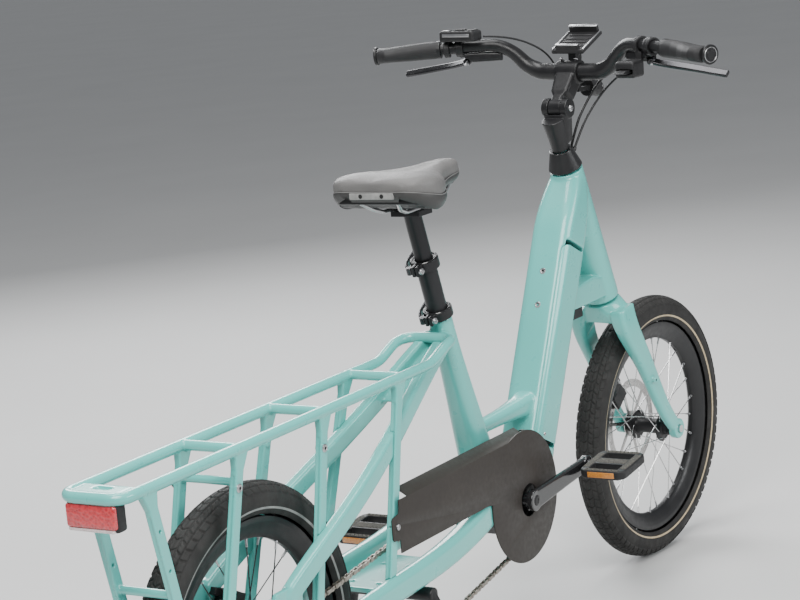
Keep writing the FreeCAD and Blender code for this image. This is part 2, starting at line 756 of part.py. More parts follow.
def pitch_radius(teeth):
    return dim("chain_pitch") / (2 * math.sin(math.pi / dim(teeth)))


def chain_wheels():
    """Centre, pitch radius and turning sense of each wheel that the chain goes round."""
    jockey = pitch_radius("jockey_teeth")
    return [(CRANK_AXLE, pitch_radius("ring_teeth"), 1),
            (REAR_AXLE, pitch_radius("sprocket_teeth"), 1),
            (V(24, 0, 192), jockey, -1),
            (V(58, 0, 116), jockey, 1)]


def chain_loop(offset):
    """The closed path of the chain, offset outwards from its pitch line."""
    wheels = [(centre, sense * radius + offset) for centre, radius, sense in chain_wheels()]
    angles = []
    for (first, r1), (second, r2) in zip(wheels, wheels[1:] + wheels[:1]):
        across = second - first
        angles.append(math.atan2(across.z, across.x) - math.asin((r2 - r1) / across.Length))
    edges = []
    for i, (centre, radius) in enumerate(wheels):
        arrive, leave = angles[i - 1], angles[i]
        turn = (leave - arrive) % (2 * math.pi)
        if radius < 0:
            turn -= 2 * math.pi
        rim = [centre + V(math.sin(a), 0, -math.cos(a)) * radius
               for a in (arrive, arrive + turn / 2, leave)]
        edges.append(Part.Arc(*rim).toShape())
        follower, r2 = wheels[(i + 1) % len(wheels)]
        landing = follower + V(math.sin(leave), 0, -math.cos(leave)) * r2
        edges.append(Part.LineSegment(rim[2], landing).toShape())
    return Part.Wire(edges)


def chain():
    """The chain: two rows of side plates, joined by pins where it runs straight."""
    y = dim("chain_y")
    band = Part.Face(chain_loop(4.0)).cut(Part.Face(chain_loop(-4.0)))
    plates = []
    for low in (-4.2, 3.0):
        row = band.copy()
        row.translate(V(0, y + low, 0))
        plates.append(row.extrude(V(0, 1.2, 0)))
    middle = chain_loop(0.0)
    pins = []
    for run in (middle.Edges[1], middle.Edges[7]):
        start, end = run.Vertexes[0].Point, run.Vertexes[1].Point
        steps = int((end - start).Length / dim("chain_pitch")) - 4
        for i in range(2, steps + 2):
            at = start + (end - start) * ((i + 0.5) / (steps + 4)) + LEFT * (y - 4.0)
            pins.append(Part.makeCylinder(1.8, 8.0, at, LEFT))
    return drawn("chain", plates[0].fuse([plates[1]] + pins))


def toothed(centre, teeth, thick, y, hole):
    """A sprocket: a disc with slim teeth about its pitch circle, at a middle y."""
    radius = pitch_radius(teeth)
    count = int(dim(teeth))
    root, tip, step = radius - 4.4, radius + 3.0, 2 * math.pi / count
    points = []
    for i in range(count):
        for turn, reach in ((-0.26, root), (-0.09, tip), (0.09, tip), (0.26, root)):
            a = (i + turn) * step
            points.append(centre + V(reach * math.cos(a), y - thick / 2, reach * math.sin(a)))
    face = Part.Face(Part.makePolygon(points + points[:1]))
    wheel = face.extrude(LEFT * thick)
    return wheel.cut(Part.makeCylinder(hole, thick + 2, centre + LEFT * (y - thick / 2 - 1), LEFT))


def chainring():
    """The chainring, with five openings between its arms."""
    ring = toothed(CRANK_AXLE, "ring_teeth", 2.0, dim("chain_y"), 12.0)
    start = CRANK_AXLE + LEFT * (dim("chain_y") - 2)
    openings = []
    for i in range(5):
        for reach, radius in ((50, 12), (58, 9)):
            middle = start + rotated(V(reach, 0, 0), 72.0 * i + (0 if reach == 50 else 16))
            openings.append(Part.makeCylinder(radius, 4, middle, LEFT))
    return drawn("chainring", ring.cut(Part.makeCompound(openings)))


def cassette():
    """Sprockets on a carrier, the fourth carrying the chain."""
    y = dim("chain_y")
    bore = dim("axle_radius") + dim("running_gap")
    parts = [toothed(REAR_AXLE, "sprocket_teeth", 2.0, y, 18)]
    for i, radius in enumerate((66, 57, 49)):
        low = REAR_AXLE + LEFT * (y + 14.5 - 3.2 * i)
        parts.append(Part.makeCylinder(radius, 1.8, low, LEFT))
    for i, radius in enumerate((36, 31)):
        parts.append(Part.makeCylinder(radius, 1.8, REAR_AXLE + LEFT * (y - 8.4 - 3.6 * i), LEFT))
    carrier = Part.makeCylinder(19, 32, REAR_AXLE + LEFT * (y - 14), LEFT)
    shape = carrier.fuse(parts).cut(Part.makeCylinder(bore, 80, REAR_AXLE + LEFT * (y - 40), LEFT))
    return drawn("cassette", shape)


def jockey(label, wheel):
    centre = chain_wheels()[wheel][0]
    return drawn(label, toothed(centre, "jockey_teeth", 2.0, dim("chain_y"), 4.05))


def derailleur():
    """The rear derailleur: hanger, body, cage plates and the bolts its pulleys turn on."""
    y = dim("chain_y")
    upper, lower = chain_wheels()[2][0], chain_wheels()[3][0]

    def cage(low, width):
        ends = [Part.makeCylinder(15, 1.6, c + LEFT * low, LEFT) for c in (upper, lower)]
        along = (lower - upper).normalize()
        side = along.cross(LEFT) * width
        corners = [upper + side, upper - side, lower - side, lower + side]
        corners = [c + LEFT * low for c in corners]
        link = Part.Face(Part.makePolygon(corners + corners[:1])).extrude(LEFT * 1.6)
        return link.fuse(ends)

    outer, inner = cage(y - 9.0, 10), cage(y + 7.4, 10)
    bolts = [Part.makeCylinder(4.0, 18, c + LEFT * (y - 9), LEFT) for c in (upper, lower)]
    body = beam([V(24, y - 15, 192), V(30, y - 18, 214), V(22, y - 20, 236)], (12, 26), 5)
    knuckle = Part.makeCylinder(13, 13, V(24, y - 22, 192), LEFT)
    hanger = plate([(8, 228), (34, 228), (36, 244), (16, 250), (8, 244)], y - 26, y - 20)
    return drawn("derailleur", outer.fuse([inner, body, knuckle, hanger] + bolts))


def crank_arms():
    """Two arms and the axle between them; the right arm points forward at rest."""
    forward = direction(dim("crank_rise"))
    tilt = forward.cross(LEFT)
    axle = bar(CRANK_AXLE - LEFT * 86, CRANK_AXLE + LEFT * 86, 12)
    arms = []
    for side in (-1, 1):
        start = CRANK_AXLE + LEFT * (side * 81)
        end = CRANK_AXLE + forward * (-side * dim("crank_length")) + LEFT * (side * 99)
        along = (end - start).normalize()
        arm = loft([ring_section(start + along * s, LEFT, tilt, w, h, 4)
                    for s, w, h in ((0, 12, 36), (60, 12, 31), (dim("crank_length"), 12, 27))])
        arm = arm.fuse([Part.makeCylinder(19, 13, start - LEFT * 6.5, LEFT),
                        Part.makeCylinder(15, 13, end - LEFT * 6.5, LEFT)])
        arms.append(arm)
        axle = axle.fuse(bar(end, end + LEFT * (side * 84), 7))
    return drawn("crank_arms", axle.fuse(arms))


def pedal(label, side):
    """A flat pedal with a ridged grip face, bored for its axle."""
    end = CRANK_AXLE + direction(dim("crank_rise")) * (-side * dim("crank_length"))
    low, high = sorted((side * 109.0, side * 197.0))
    body = block(V(-50, low, -8), V(50, high, 8))
    uprights = [e for e in body.Edges if abs(e.BoundBox.ZLength - 16) < 0.1]
    body = body.makeFillet(14, uprights)
    body = body.makeFillet(3, [e for e in body.Edges if e.BoundBox.ZLength < 0.1])
    windows = [block(V(x, low + 16, -10), V(x + 24, high - 16, 10)) for x in (-38, 14)]
    body = body.cut(Part.makeCompound(windows))
    body = body.cut(Part.makeCylinder(7 + dim("running_gap"), 78, V(0, side * 109 - (
        1 if side > 0 else 77), 0), LEFT))
    body.rotate(V(0, 0, 0), LEFT, -6.0)
    body.translate(end)
    return drawn(label, body)


# --------------------------------------------------- the fork and the cockpit

CROWN_TOP = 290.5                  # from the top of the head tube to the fork's crown


def on_head(down, across=0.0, forward=0.0):
    """A point by its distance down the steering axis, to the left and in front of it."""
    return HEAD_TOP - HEAD_UP * down + LEFT * across + HEAD_FORWARD * forward


def fork():
    """A crown with two raked legs standing off the tyre, and the steerer pressed into it."""
    crown = loft([ring_section(on_head(CROWN_TOP), LEFT, HEAD_FORWARD, 62, 66, 30),
                  ring_section(on_head(310, 0, 1), LEFT, HEAD_FORWARD, 88, 62, 28),
                  ring_section(on_head(331, 0, 1), LEFT, HEAD_FORWARD, 108, 54, 24)])
    tyre_room = Part.makeCylinder(dim("wheel_radius") + 9, 74, FRONT_AXLE - LEFT * 37, LEFT)
    crown = crown.cut(tyre_room)
    end = FRONT_AXLE - LEFT * 61
    leg = beam([on_head(308, -40, -2), V(1233, -49, 494), V(1264, -53, 444), V(1300, -56, 384),
                V(1336, -59, 321), end], [(34, 54), (29, 52), (24, 46), (21, 40), (19, 36),
                                          (16, 30)], 10)
    leg = leg.cut(tyre_room)
    foot = Part.makeCylinder(20, 16, end - LEFT * 8, LEFT)
    boss = bar(V(1290, -72, 384), V(1290, -55, 384), 5.5)
    right = leg.fuse([foot, boss])
    shape = crown.fuse([right, mirrored(right)])
    axle = Part.makeCylinder(dim("axle_radius"), 200, FRONT_AXLE - LEFT * 100, LEFT)
    tapped = bar(V(1290, -74, 384), V(1290, -58, 384), 2.5)
    steerer = Part.makeCylinder(dim("steerer_radius"), dim("steerer_length"),
                                on_head(CROWN_TOP), HEAD_UP)
    return drawn("fork", Part.Compound([shape.cut(axle).cut(both_sides(tapped)), steerer]),
                 STEERED)


def cone_spacer():
    """The tapered cover between the head tube and the stem, turned on the axis."""
    base = on_head(-0.6)
    outer = bind(doc.addObject("Part::Cone", "Cone"), Radius1="Dims.head_top_radius + 1",
                 Radius2="Dims.cone_top_radius", Height="Dims.cone_height")
    outer.Placement = FreeCAD.Placement(base, FreeCAD.Rotation(UP, HEAD_UP))
    bore = cylinder(base - HEAD_UP, HEAD_UP, "Dims.steerer_radius", "Dims.cone_height + 2")
    return sub_part(cut(outer, bore), "cone_spacer", STEERED)


def stem_base():
    """The lower half of the stem: a column on the steerer with two ears in front."""
    column = loft([ring_section(on_head(-down), LEFT, HEAD_FORWARD, width, depth, width / 2)
                   for down, width, depth in ((38.2, 33, 33), (58, 34, 34), (80, 38, 38),
                                              (100, 43, 40))])
    web = loft([ring_section(on_head(-48, 0, 12), LEFT, HEAD_FORWARD, 36, 30, 10),
                ring_section(STEM_PIVOT - direction(60) * 6, LEFT, HEAD_FORWARD, 52, 32, 10)])
    ears = bar(STEM_PIVOT - LEFT * 26, STEM_PIVOT + LEFT * 26, 18)
    shape = column.fuse([web, ears])
    room = bar(STEM_PIVOT - LEFT * 13, STEM_PIVOT + LEFT * 13, 19.5)
    shape = shape.cut(room).cut(bar(on_head(-36), on_head(-59.6), dim("steerer_radius")))
    pin = bar(STEM_PIVOT - LEFT * 27, STEM_PIVOT + LEFT * 27, 5)
    clear = room.cut(pin)
    return drawn("stem_base", shape.fuse(pin).cut(clear), STEERED)


def stem_arm():
    """The upper half of the stem: knuckle, arm and the clamp round the bar."""
    knuckle = bar(STEM_PIVOT - LEFT * 12.6, STEM_PIVOT + LEFT * 12.6, 17)
    along = (BAR_MIDDLE - STEM_PIVOT).normalize()
    arm = beam([STEM_PIVOT + along * 2, STEM_PIVOT + along * 20, STEM_PIVOT + along * 29,
                BAR_MIDDLE], [(25, 30), (25, 31), (37, 33), (44, 36)], 6, ruled=True)
    clamp = bar(BAR_MIDDLE - LEFT * 23, BAR_MIDDLE + LEFT * 23, 21.5)
    shape = knuckle.fuse([arm, clamp])
    shape = shape.cut(bar(STEM_PIVOT - LEFT * 30, STEM_PIVOT + LEFT * 30,
                          5 + dim("running_gap")))
    shape = shape.cut(bar(BAR_MIDDLE - LEFT * 40, BAR_MIDDLE + LEFT * 40,
                          dim("bar_clamp_radius")))
    return drawn("stem_arm", shape, STEERED)


def bar_points():
    """The left half of the bar, from the clamp out: it rises, then sweeps back."""
    return [(V(1150, 0, 998), 15.9), (V(1150, 40, 998), 15.9), (V(1149, 66, 1000), 15.4),
            (V(1145, 90, 1012), 14.2), (V(1137, 112, 1034), 13.0), (V(1126, 134, 1048), 12.0),
            (V(1112, 160, 1052), 11.3), (V(1078, dim("grip_start"), 1048), dim("bar_radius")),
            (V(1028, dim("bar_half"), 1041), dim("bar_radius"))]


def handlebar():
    """The bar: rings along a smooth line through its stations, joined by straight walls."""
    stations = bar_points()
    line, girth = Part.BSplineCurve(), Part.BSplineCurve()
    line.interpolate([p for p, _ in stations])
    girth.interpolate([V(i, r, 0) for i, (_, r) in enumerate(stations)],
                      Parameters=[float(i) for i in range(len(stations))])
    line_at = [line.parameter(p) for p, _ in stations]
    half = []
    for i in range(len(stations) - 1):
        for share in (0.0, 0.33, 0.67):
            at = line_at[i] + (line_at[i + 1] - line_at[i]) * share
            half.append((line.value(at), girth.value(i + share).y))
    half.append(stations[-1])
    half = half[:1] + half[3:]
    right = [(V(p.x, -p.y, p.z), r) for p, r in reversed(half[1:])]
    rings = right + half
    tube = tapered_tube([p for p, _ in rings], [r for _, r in rings])
    return drawn("handlebar", tube, STEERED)


def grip_line(side=1):
    """The straight outer stretch of the bar: where the grip starts and its end."""
    start, end = bar_points()[-2][0], bar_points()[-1][0]
    return V(start.x, side * start.y, start.z), V(end.x, side * end.y, end.z)


def grips():
    """Rubber grips with a broad wing for the palm and a locking ring at the end."""
    start, end = grip_line()
    along = (end - start).normalize()
    back = V(along.y, -along.x, 0).normalize() * -1.0
    up = along.cross(back)
    up = up if up.z > 0 else up * -1.0
    sections = []
    for share, width, height, shift in ((0.0, 33, 33, 0), (0.2, 34, 32, 1), (0.55, 40, 31, 4),
                                        (0.85, 48, 29, 8), (0.98, 40, 30, 4)):
        centre = start + (end - start) * share + back * shift
        sections.append(ring_section(centre, back, up, width, height, 14))
    grip = loft(sections).fuse(bar(start + (end - start) * 0.97, end + along * 3, 16.5))
    grip = grip.cut(bar(start - along * 5, end, dim("bar_radius")))
    return drawn("grips", both_sides(grip), STEERED)


def along_bar(y):
    """The bar's centre at a distance to the left of the middle, on its swept stretch."""
    start, end = bar_points()[6][0], bar_points()[7][0]
    if y > end.y:
        start, end = grip_line()
    return start + (end - start) * ((y - start.y) / (end.y - start.y))


BAR_OUT = (bar_points()[7][0] - bar_points()[6][0]).normalize()
LEVER_PIVOT = V(1104, 196, 1023)
LEVER_AXIS = V(0.62, -0.34, 0.71).normalize()


def brake_bodies():
    """Brake clamps with their fluid reservoirs, ahead of and below the bar."""
    middle = along_bar(204)
    ring = bar(middle - BAR_OUT * 7, middle + BAR_OUT * 7, 16.5)
    cylinder_body = beam([V(1100, 198, 1031), V(1114, 172, 1031), V(1134, 136, 1030)],
                         [(24, 20), (22, 20), (18, 17)], 6)
    ears = bar(LEVER_PIVOT - LEVER_AXIS * 9, LEVER_PIVOT + LEVER_AXIS * 9, 9)
    bridge = beam([middle, V(1100, 196, 1033)], (16, 18), 5)
    shape = ring.fuse([cylinder_body, ears, bridge])
    gap = bar(LEVER_PIVOT - LEVER_AXIS * 4.6, LEVER_PIVOT + LEVER_AXIS * 4.6, 15)
    pin = bar(LEVER_PIVOT - LEVER_AXIS * 9, LEVER_PIVOT + LEVER_AXIS * 9, 2.5)
    bore = bar(along_bar(160), along_bar(237), 11.3)
    shape = largest(shape.cut(bore).cut(gap)).fuse(pin)
    return drawn("brake_bodies", both_sides(shape), STEERED)


def lever_points():
    return [LEVER_PIVOT + V(0, 3, -1), V(1110, 226, 1016), V(1115, 262, 1010),
            V(1114, 302, 1004), V(1112, 342, 998)]


def lever(label, side):
    """A brake lever blade, curving out ahead of the grip."""
    knuckle = bar(LEVER_PIVOT - LEVER_AXIS * 4.3, LEVER_PIVOT + LEVER_AXIS * 4.3, 8)
    blade = beam(lever_points(),
                 [(8, 13), (7, 14), (7, 14), (7, 14), (8, 13)], 2.4, across=V(0.7, 0, -0.7))
    shape = knuckle.fuse(blade)
    shape = shape.cut(bar(LEVER_PIVOT - LEVER_AXIS * 12, LEVER_PIVOT + LEVER_AXIS * 12, 2.55))
    return drawn(label, shape if side > 0 else mirrored(shape), STEERED)


REMOTE_LOW, REMOTE_HIGH = V(1056, 150, 1064), V(1090, 226, 1084)
SHIFTER_LOW, SHIFTER_HIGH = V(1058, -186, 996), V(1098, -146, 1026)


def control_housings():
    """The assist remote above the left grip and the shifter below the right one."""
    pod = block(REMOTE_LOW, REMOTE_HIGH)
    pod = pod.makeFillet(5, pod.Edges)
    ring_at = along_bar(226)
    pod = pod.fuse(bar(ring_at - BAR_OUT * 5, ring_at + BAR_OUT * 5, 16.5))
    pod = pod.fuse(block(V(ring_at.x - 8, 218, 1056), V(ring_at.x + 8, 226, 1068)))
    pod = pod.cut(bar(along_bar(160), along_bar(236.9), 11.3))
    pod = pod.cut(block(V(1064, 176, 1079.6), V(1082, 196, 1090)))
    shifter = block(SHIFTER_LOW, SHIFTER_HIGH)
    shifter = shifter.makeFillet(6, shifter.Edges)
    at = along_bar(176)
    at, out = V(at.x, -at.y, at.z), V(BAR_OUT.x, -BAR_OUT.y, BAR_OUT.z)
    shifter = shifter.fuse([bar(at - out * 5, at + out * 5, 16.5),
                            block(V(at.x - 12, -182, 1022), V(at.x + 6, -170, 1040))])
    shifter = shifter.cut(bar(at - out * 30, at + out * 30, 11.3))
    shifter = shifter.cut(block(V(1050, -182, 1003), V(1086, -150, 1012)))
    return drawn("control_housings", Part.makeCompound([pod, shifter]), STEERED)


def assist_button():
    button = block(V(1065, 177, 1081.2), V(1081, 195, 1086.4))
    return drawn("assist_button", button.makeFillet(1.2, button.Edges), STEERED)


def shift_paddle():
    """The thumb paddle, in a slot of the shifter's rear face."""
    paddle = plate([(1034, 1006), (1046, 1004.4), (1078, 1004.4), (1078, 1010.6), (1046, 1010.6)],
                   -176, -156)
    return drawn("shift_paddle", paddle, STEERED)


def phone_cradle():
    """An empty phone holder above the stem, tilted towards the rider."""
    base = block(V(-40, -34, 0), V(40, 34, 8))
    base = base.makeFillet(2.5, base.Edges)
    hooks = [block(V(31, -30, 6), V(38, 30, 20)), block(V(-38, -24, 6), V(-32, 24, 17))]
    shape = base.fuse(hooks + [block(V(-20, -9, -14), V(6, 9, 1))])
    shape.rotate(V(0, 0, 0), LEFT, -22)
    shape.translate(V(1180, 0, 1046))
    foot = block(V(1158, -8, 1016), V(1180, 8, 1045)).cut(
        bar(BAR_MIDDLE - LEFT * 30, BAR_MIDDLE + LEFT * 30, 21.5))
    return drawn("phone_cradle", shape.fuse(foot), STEERED)


def front_light():
    """A small lamp on a bracket under the bar clamp."""
    lamp = bar(V(1206, 0, 962), V(1240, 0, 958), 16)
    bracket = block(V(1172, -6, 958), V(1212, 6, 966)).fuse(
        block(V(1168, -6, 958), V(1178, 6, 990)))
    clamp_room = bar(BAR_MIDDLE - LEFT * 30, BAR_MIDDLE + LEFT * 30, 21.7)
    return drawn("front_light", lamp.fuse(bracket).cut(clamp_room), STEERED)


def hose_end(across):
    """Where a hose meets the front of the cone spacer, by its distance to the left."""
    height = 25.0
    low, high = dim("head_top_radius") + 1, dim("cone_top_radius")
    flank = low + (high - low) * height / dim("cone_height")
    return on_head(-height, across, math.sqrt(flank ** 2 - across ** 2) + 3.4)


def hose_routes():
    """Each hose or cable from its control, round the stem's front, to the cone spacer."""
    left = [V(1137, 128, 1030), V(1168, 98, 1020), V(1187, 62, 1000), V(1186, 32, 970),
            V(1167, 18, 936), V(1146, 11, 902), hose_end(6)]
    right = [V(1137, -128, 1030), V(1170, -98, 1018), V(1190, -62, 998), V(1190, -30, 968),
             V(1169, -16, 934), V(1147, -9, 901), hose_end(-4)]
    shift = [V(1112, -160, 1012), V(1146, -124, 1002), V(1176, -84, 986), V(1184, -48, 958),
             V(1166, -29, 924), V(1146, -20, 894), hose_end(-13)]
    wire = [V(1078, 141, 1072), V(1100, 116, 1070), V(1138, 84, 1056), V(1170, 58, 1030),
            V(1184, 44, 990), V(1172, 34, 948), V(1150, 24, 908), hose_end(14)]
    return [(left, 2.5), (right, 2.5), (shift, 2.2), (wire, 1.8)]


def hoses():
    """The four hoses; each tube's volume is compared with its section times its length."""
    tubes = []
    for points, radius in hose_routes():
        path = cord_path(points)
        tube = swept(path, radius)
        expected = math.pi * radius ** 2 * path.Length
        print("hose %.0f mm long, volume %.4f of section times length"
              % (path.Length, tube.Volume / expected))
        if abs(tube.Volume / expected - 1) > 0.01:
            raise RuntimeError("a hose's volume is not its section times its length")
        tubes.append(tube)
    return drawn("hoses", Part.makeCompound(tubes), STEERED)


# ------------------------------------------------------ seatposts and saddle

POST_COLLAR = SEAT_TOP + SEAT_UP * 106.0
POST_TOP = SEAT_TOP + SEAT_UP * 197.0


def seatpost_lower():
    """The outer post, with the clamp collar of the inner post at its top."""
    bottom = SEAT_TOP - SEAT_UP * 190
    tube = bar(bottom, POST_COLLAR, dim("lower_post"))
    base = POST_COLLAR - SEAT_UP * 12
    ring = bar(base, base + SEAT_UP * 18, 24)
    ears = ear_block(base, 18)
    slit = ear_block(base - SEAT_UP, 20, width=2.0, reach=44)
    bore = bar(bottom - SEAT_UP, POST_COLLAR + SEAT_UP * 10, dim("upper_post") + dim("running_gap"))
    return drawn("seatpost_lower", tube.fuse([ring, ears]).cut(slit).cut(bore))


def seatpost_upper():
    """The inner post, with the cradle that holds the saddle's rails."""
    tube = bar(POST_COLLAR - SEAT_UP * 150, POST_TOP, dim("upper_post"))
    head = block(V(POST_TOP.x - 22, -27, 829), V(POST_TOP.x + 22, 27, 838.4))
    cap = block(V(POST_TOP.x - 17, -27, 845.8), V(POST_TOP.x + 17, 27, 850))
    bolt = bar(V(POST_TOP.x, 0, 834), V(POST_TOP.x, 0, 852.5), 4)
    return drawn("seatpost_upper", tube.fuse([head, cap, bolt]))


def lever_piece(label, base, height):
    """A quick-release lever: its cam on the left of the ears, and a curved handle."""
    centre = base + SEAT_BACK * 30 + SEAT_UP * (height / 2)
    cam = bar(centre + LEFT * 13.4 - SEAT_UP * 6, centre + LEFT * 13.4 + SEAT_UP * 6, 5.7)
    handle = beam([centre + LEFT * 14, centre + LEFT * 25 - SEAT_BACK * 12,
                   centre + LEFT * 32 - SEAT_BACK * 36 + SEAT_UP * 2,
                   centre + LEFT * 31 - SEAT_BACK * 62 + SEAT_UP * 8],
                  [(8, 9), (5, 12), (5, 13), (5, 11)], 2.2, across=LEFT)
    return drawn(label, cam.fuse(handle))


def saddle_rail_points():
    """The right rail's route: up at both ends, low and straight through the post's clamp."""
    return [V(466, -36, 864), V(490, -25, 849), V(512, -22, 842.1), V(610, -22, 842.1),
            V(640, -20, 852), V(672, -13, 867)]


def saddle_rails():
    """Two steel rails, bowed down to the post's clamp."""
    return drawn("saddle_rails", both_sides(swept(rounded_path(saddle_rail_points(), 16), 3.5)))


# Distance forwards, width, underside and top of the saddle's pad, from its rear to its nose.
SADDLE = [(446, 120, 880, 901), (458, 160, 874, 907), (480, 184, 866, 910),
          (508, 188, 860, 908), (540, 168, 862, 904), (575, 118, 866, 902),
          (612, 78, 869, 902), (650, 54, 871, 904), (685, 44, 874, 905), (703, 28, 880, 902)]


def saddle_parts():
    """A padded top over a moulded shell."""
    pad = loft([ring_section(V(x, 0, (low + high) / 2), LEFT, UP, width, high - low, 10)
                for x, width, low, high in SADDLE])
    drawn("saddle_pad", pad)
    shell = loft([ring_section(V(x, 0, low - 5.5), LEFT, UP, width - 14, 11, 5)
                  for x, width, low, _ in SADDLE[1:-1]])
    rail_room = both_sides(swept(rounded_path(saddle_rail_points(), 16), 3.6))
    return drawn("saddle_shell", largest(shell.cut(rail_room).cut(pad)))


def kickstand():
    """A two-legged stand on a cross tube under the stand plate, down at rest."""
    x, z, tube = dim("stand_x"), dim("stand_z"), dim("stand_tube")
    cross = bar(V(x, -82, z), V(x, 82, z), tube)
    leg = swept(rounded_path([V(x, -74, z), V(x + 24, -112, 130), V(x + 44, -186, 12)], 60), 10)
    foot = bar(V(x + 45, -189, 5), V(x + 45, -189, 22), 19)
    pad = bar(V(x + 45, -189, 0), V(x + 45, -189, 6), 21)
    side = leg.fuse([foot, pad])
    return drawn("kickstand", cross.fuse([side, mirrored(side)]))


def caliper(label, axle, place, y, radius, toward):
    """A brake caliper straddling its disc; toward is its place round the axle, in degrees."""
    middle = axle + direction(toward) * (radius - 6) + LEFT * y
    out, side = direction(toward), direction(toward + 90)

    def brick(o_low, o_high, s_half, y_low, y_high):
        corners = [middle + out * o + side * s for o, s in
                   ((o_low, -s_half), (o_high, -s_half), (o_high, s_half), (o_low, s_half))]
        corners = [c + LEFT * y_low for c in corners]
        return Part.Face(Part.makePolygon(corners + corners[:1])).extrude(LEFT * (y_high - y_low))

    body = brick(-12, 20, 21, -11, 15)
    slot = brick(-14, 11, 24, -2.2, 2.2)
    ears = brick(6, 18, 38, 3, 15)
    return drawn(label, body.fuse(ears).cut(slot), place)


# ------------------------------------------------------------------ assembly

def wheels():
    front_disc_y, rear_disc_y = 42.0, 50.0
    for name, axle, place in (("front", FRONT_AXLE, STEERED), ("rear", REAR_AXLE, BIKE)):
        tyre(name + "_tyre", axle, place)
        rim(name + "_rim", axle, place)
    spokes("front_spokes", FRONT_AXLE, STEERED, 26, 30)
    spokes("rear_spokes", REAR_AXLE, BIKE, 30, 22)
    hub("front_hub", FRONT_AXLE, STEERED, 26, 30, front_disc_y, dim("front_rotor"), 46, 46)
    hub("rear_hub", REAR_AXLE, BIKE, 30, 22, rear_disc_y, dim("rear_rotor"), 66, 30)
    axle_pin("front_axle", FRONT_AXLE, STEERED, "72")
    axle_pin("rear_axle", REAR_AXLE, BIKE, "84")
    caliper("front_caliper", FRONT_AXLE, STEERED, front_disc_y + 0.9, dim("front_rotor"), 128)
    caliper("rear_caliper", REAR_AXLE, BIKE, rear_disc_y + 0.9, dim("rear_rotor"), 62)


wheels()
for make in (head_tube, down_tube, seat_tube, stay_tubes, frame_plates, rack_loop, rack_struts,
             seat_clamp, rear_light, headset_bearings, steering_stop, drive_unit, chain_guard,
             guard_screws, chain, chainring, cassette, derailleur, crank_arms, fork,
             cone_spacer, stem_base, stem_arm, handlebar, grips, brake_bodies, control_housings,
             assist_button, shift_paddle, phone_cradle, front_light, hoses, seatpost_lower,
             seatpost_upper, saddle_rails, saddle_parts, kickstand):
    make()
jockey("jockey_upper", 2)
jockey("jockey_lower", 3)
pedal("pedal_right", -1)
pedal("pedal_left", 1)
lever("lever_left", 1)
lever("lever_right", -1)
lever_piece("seat_lever", SEAT_TOP + SEAT_UP, 16)
lever_piece("post_lever", POST_COLLAR - SEAT_UP * 12, 18)

doc.recompute()
for obj in doc.Objects:
    if "Invalid" in obj.State or "Error" in obj.State:
        raise RuntimeError("%s did not build" % obj.Label)
for obj in SUBPARTS:
    if obj.Shape.isNull() or not obj.Shape.isValid():
        raise RuntimeError("%s is not a valid shape" % obj.Label)
os.makedirs("parts", exist_ok=True)
for obj in SUBPARTS:
    obj.Shape.exportStep("parts/%s.step" % obj.Label)
print("%d sub-parts written" % len(SUBPARTS))
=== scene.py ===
"""An electric cargo bicycle round its CAD frame: detailed meshes, materials, light and camera.

Lengths inside the functions are millimetres measured forward from the rear axle, to the left of
the middle plane and up from the ground; place() and steered() turn them into the shared frame.
"""

import json
import math

import bmesh
import bpy
import numpy as np
from mathutils import Matrix, Vector


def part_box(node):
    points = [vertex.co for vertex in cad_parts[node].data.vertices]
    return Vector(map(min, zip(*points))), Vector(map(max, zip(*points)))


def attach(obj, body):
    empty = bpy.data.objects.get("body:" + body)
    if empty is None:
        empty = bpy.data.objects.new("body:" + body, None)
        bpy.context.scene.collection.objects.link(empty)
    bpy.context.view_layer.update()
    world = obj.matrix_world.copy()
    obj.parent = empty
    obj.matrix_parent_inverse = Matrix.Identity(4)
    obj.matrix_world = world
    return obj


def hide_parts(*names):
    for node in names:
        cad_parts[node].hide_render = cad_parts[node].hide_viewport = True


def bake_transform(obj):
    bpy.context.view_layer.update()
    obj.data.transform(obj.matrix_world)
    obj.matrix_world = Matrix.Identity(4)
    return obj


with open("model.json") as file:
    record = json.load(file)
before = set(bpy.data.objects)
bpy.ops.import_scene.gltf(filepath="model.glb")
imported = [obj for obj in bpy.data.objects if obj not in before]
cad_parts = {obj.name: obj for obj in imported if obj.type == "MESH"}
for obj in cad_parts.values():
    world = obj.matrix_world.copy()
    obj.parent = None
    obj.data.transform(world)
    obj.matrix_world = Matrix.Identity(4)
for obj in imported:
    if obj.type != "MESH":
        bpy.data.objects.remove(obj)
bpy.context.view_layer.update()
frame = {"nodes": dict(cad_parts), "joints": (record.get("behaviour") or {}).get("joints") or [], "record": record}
JOINTS = {joint["name"]: joint for joint in frame["joints"]}
MM = 0.001
REAR = Vector(JOINTS["rear_wheel_spin"]["pos_m"])
HEAD = Vector(JOINTS["steering"]["pos_m"])
HEAD_AXIS = Vector(JOINTS["steering"]["axis"]).normalized()
REST_STEER = math.radians(-3.83)
STEER = (Matrix.Translation(HEAD) @ Matrix.Rotation(REST_STEER, 4, HEAD_AXIS)
         @ Matrix.Translation(-HEAD))
STRAIGHT = Matrix.Identity(4)
UP, LEFT, FORWARD = Vector((0, 0, 1)), Vector((0, 1, 0)), Vector((1, 0, 0))


# ------------------------------------------------------------------ places

def place(x, y, z):
    """A point of the bicycle, in metres in the shared frame."""
    return Vector((REAR.x + x * MM, y * MM, z * MM))


def steered(x, y, z):
    """A point of the fork or bar, given as if the bar were straight."""
    return STEER @ place(x, y, z)


def toward(degrees):
    angle = math.radians(degrees)
    return Vector((math.cos(angle), 0, math.sin(angle)))


SEAT_UP, DOWN_UP, DOWN_FORWARD = toward(107.5), toward(63), toward(-27)


def on_down(s, across, forward):
    return place(992, 0, 551) + (DOWN_UP * s + LEFT * across + DOWN_FORWARD * forward) * MM


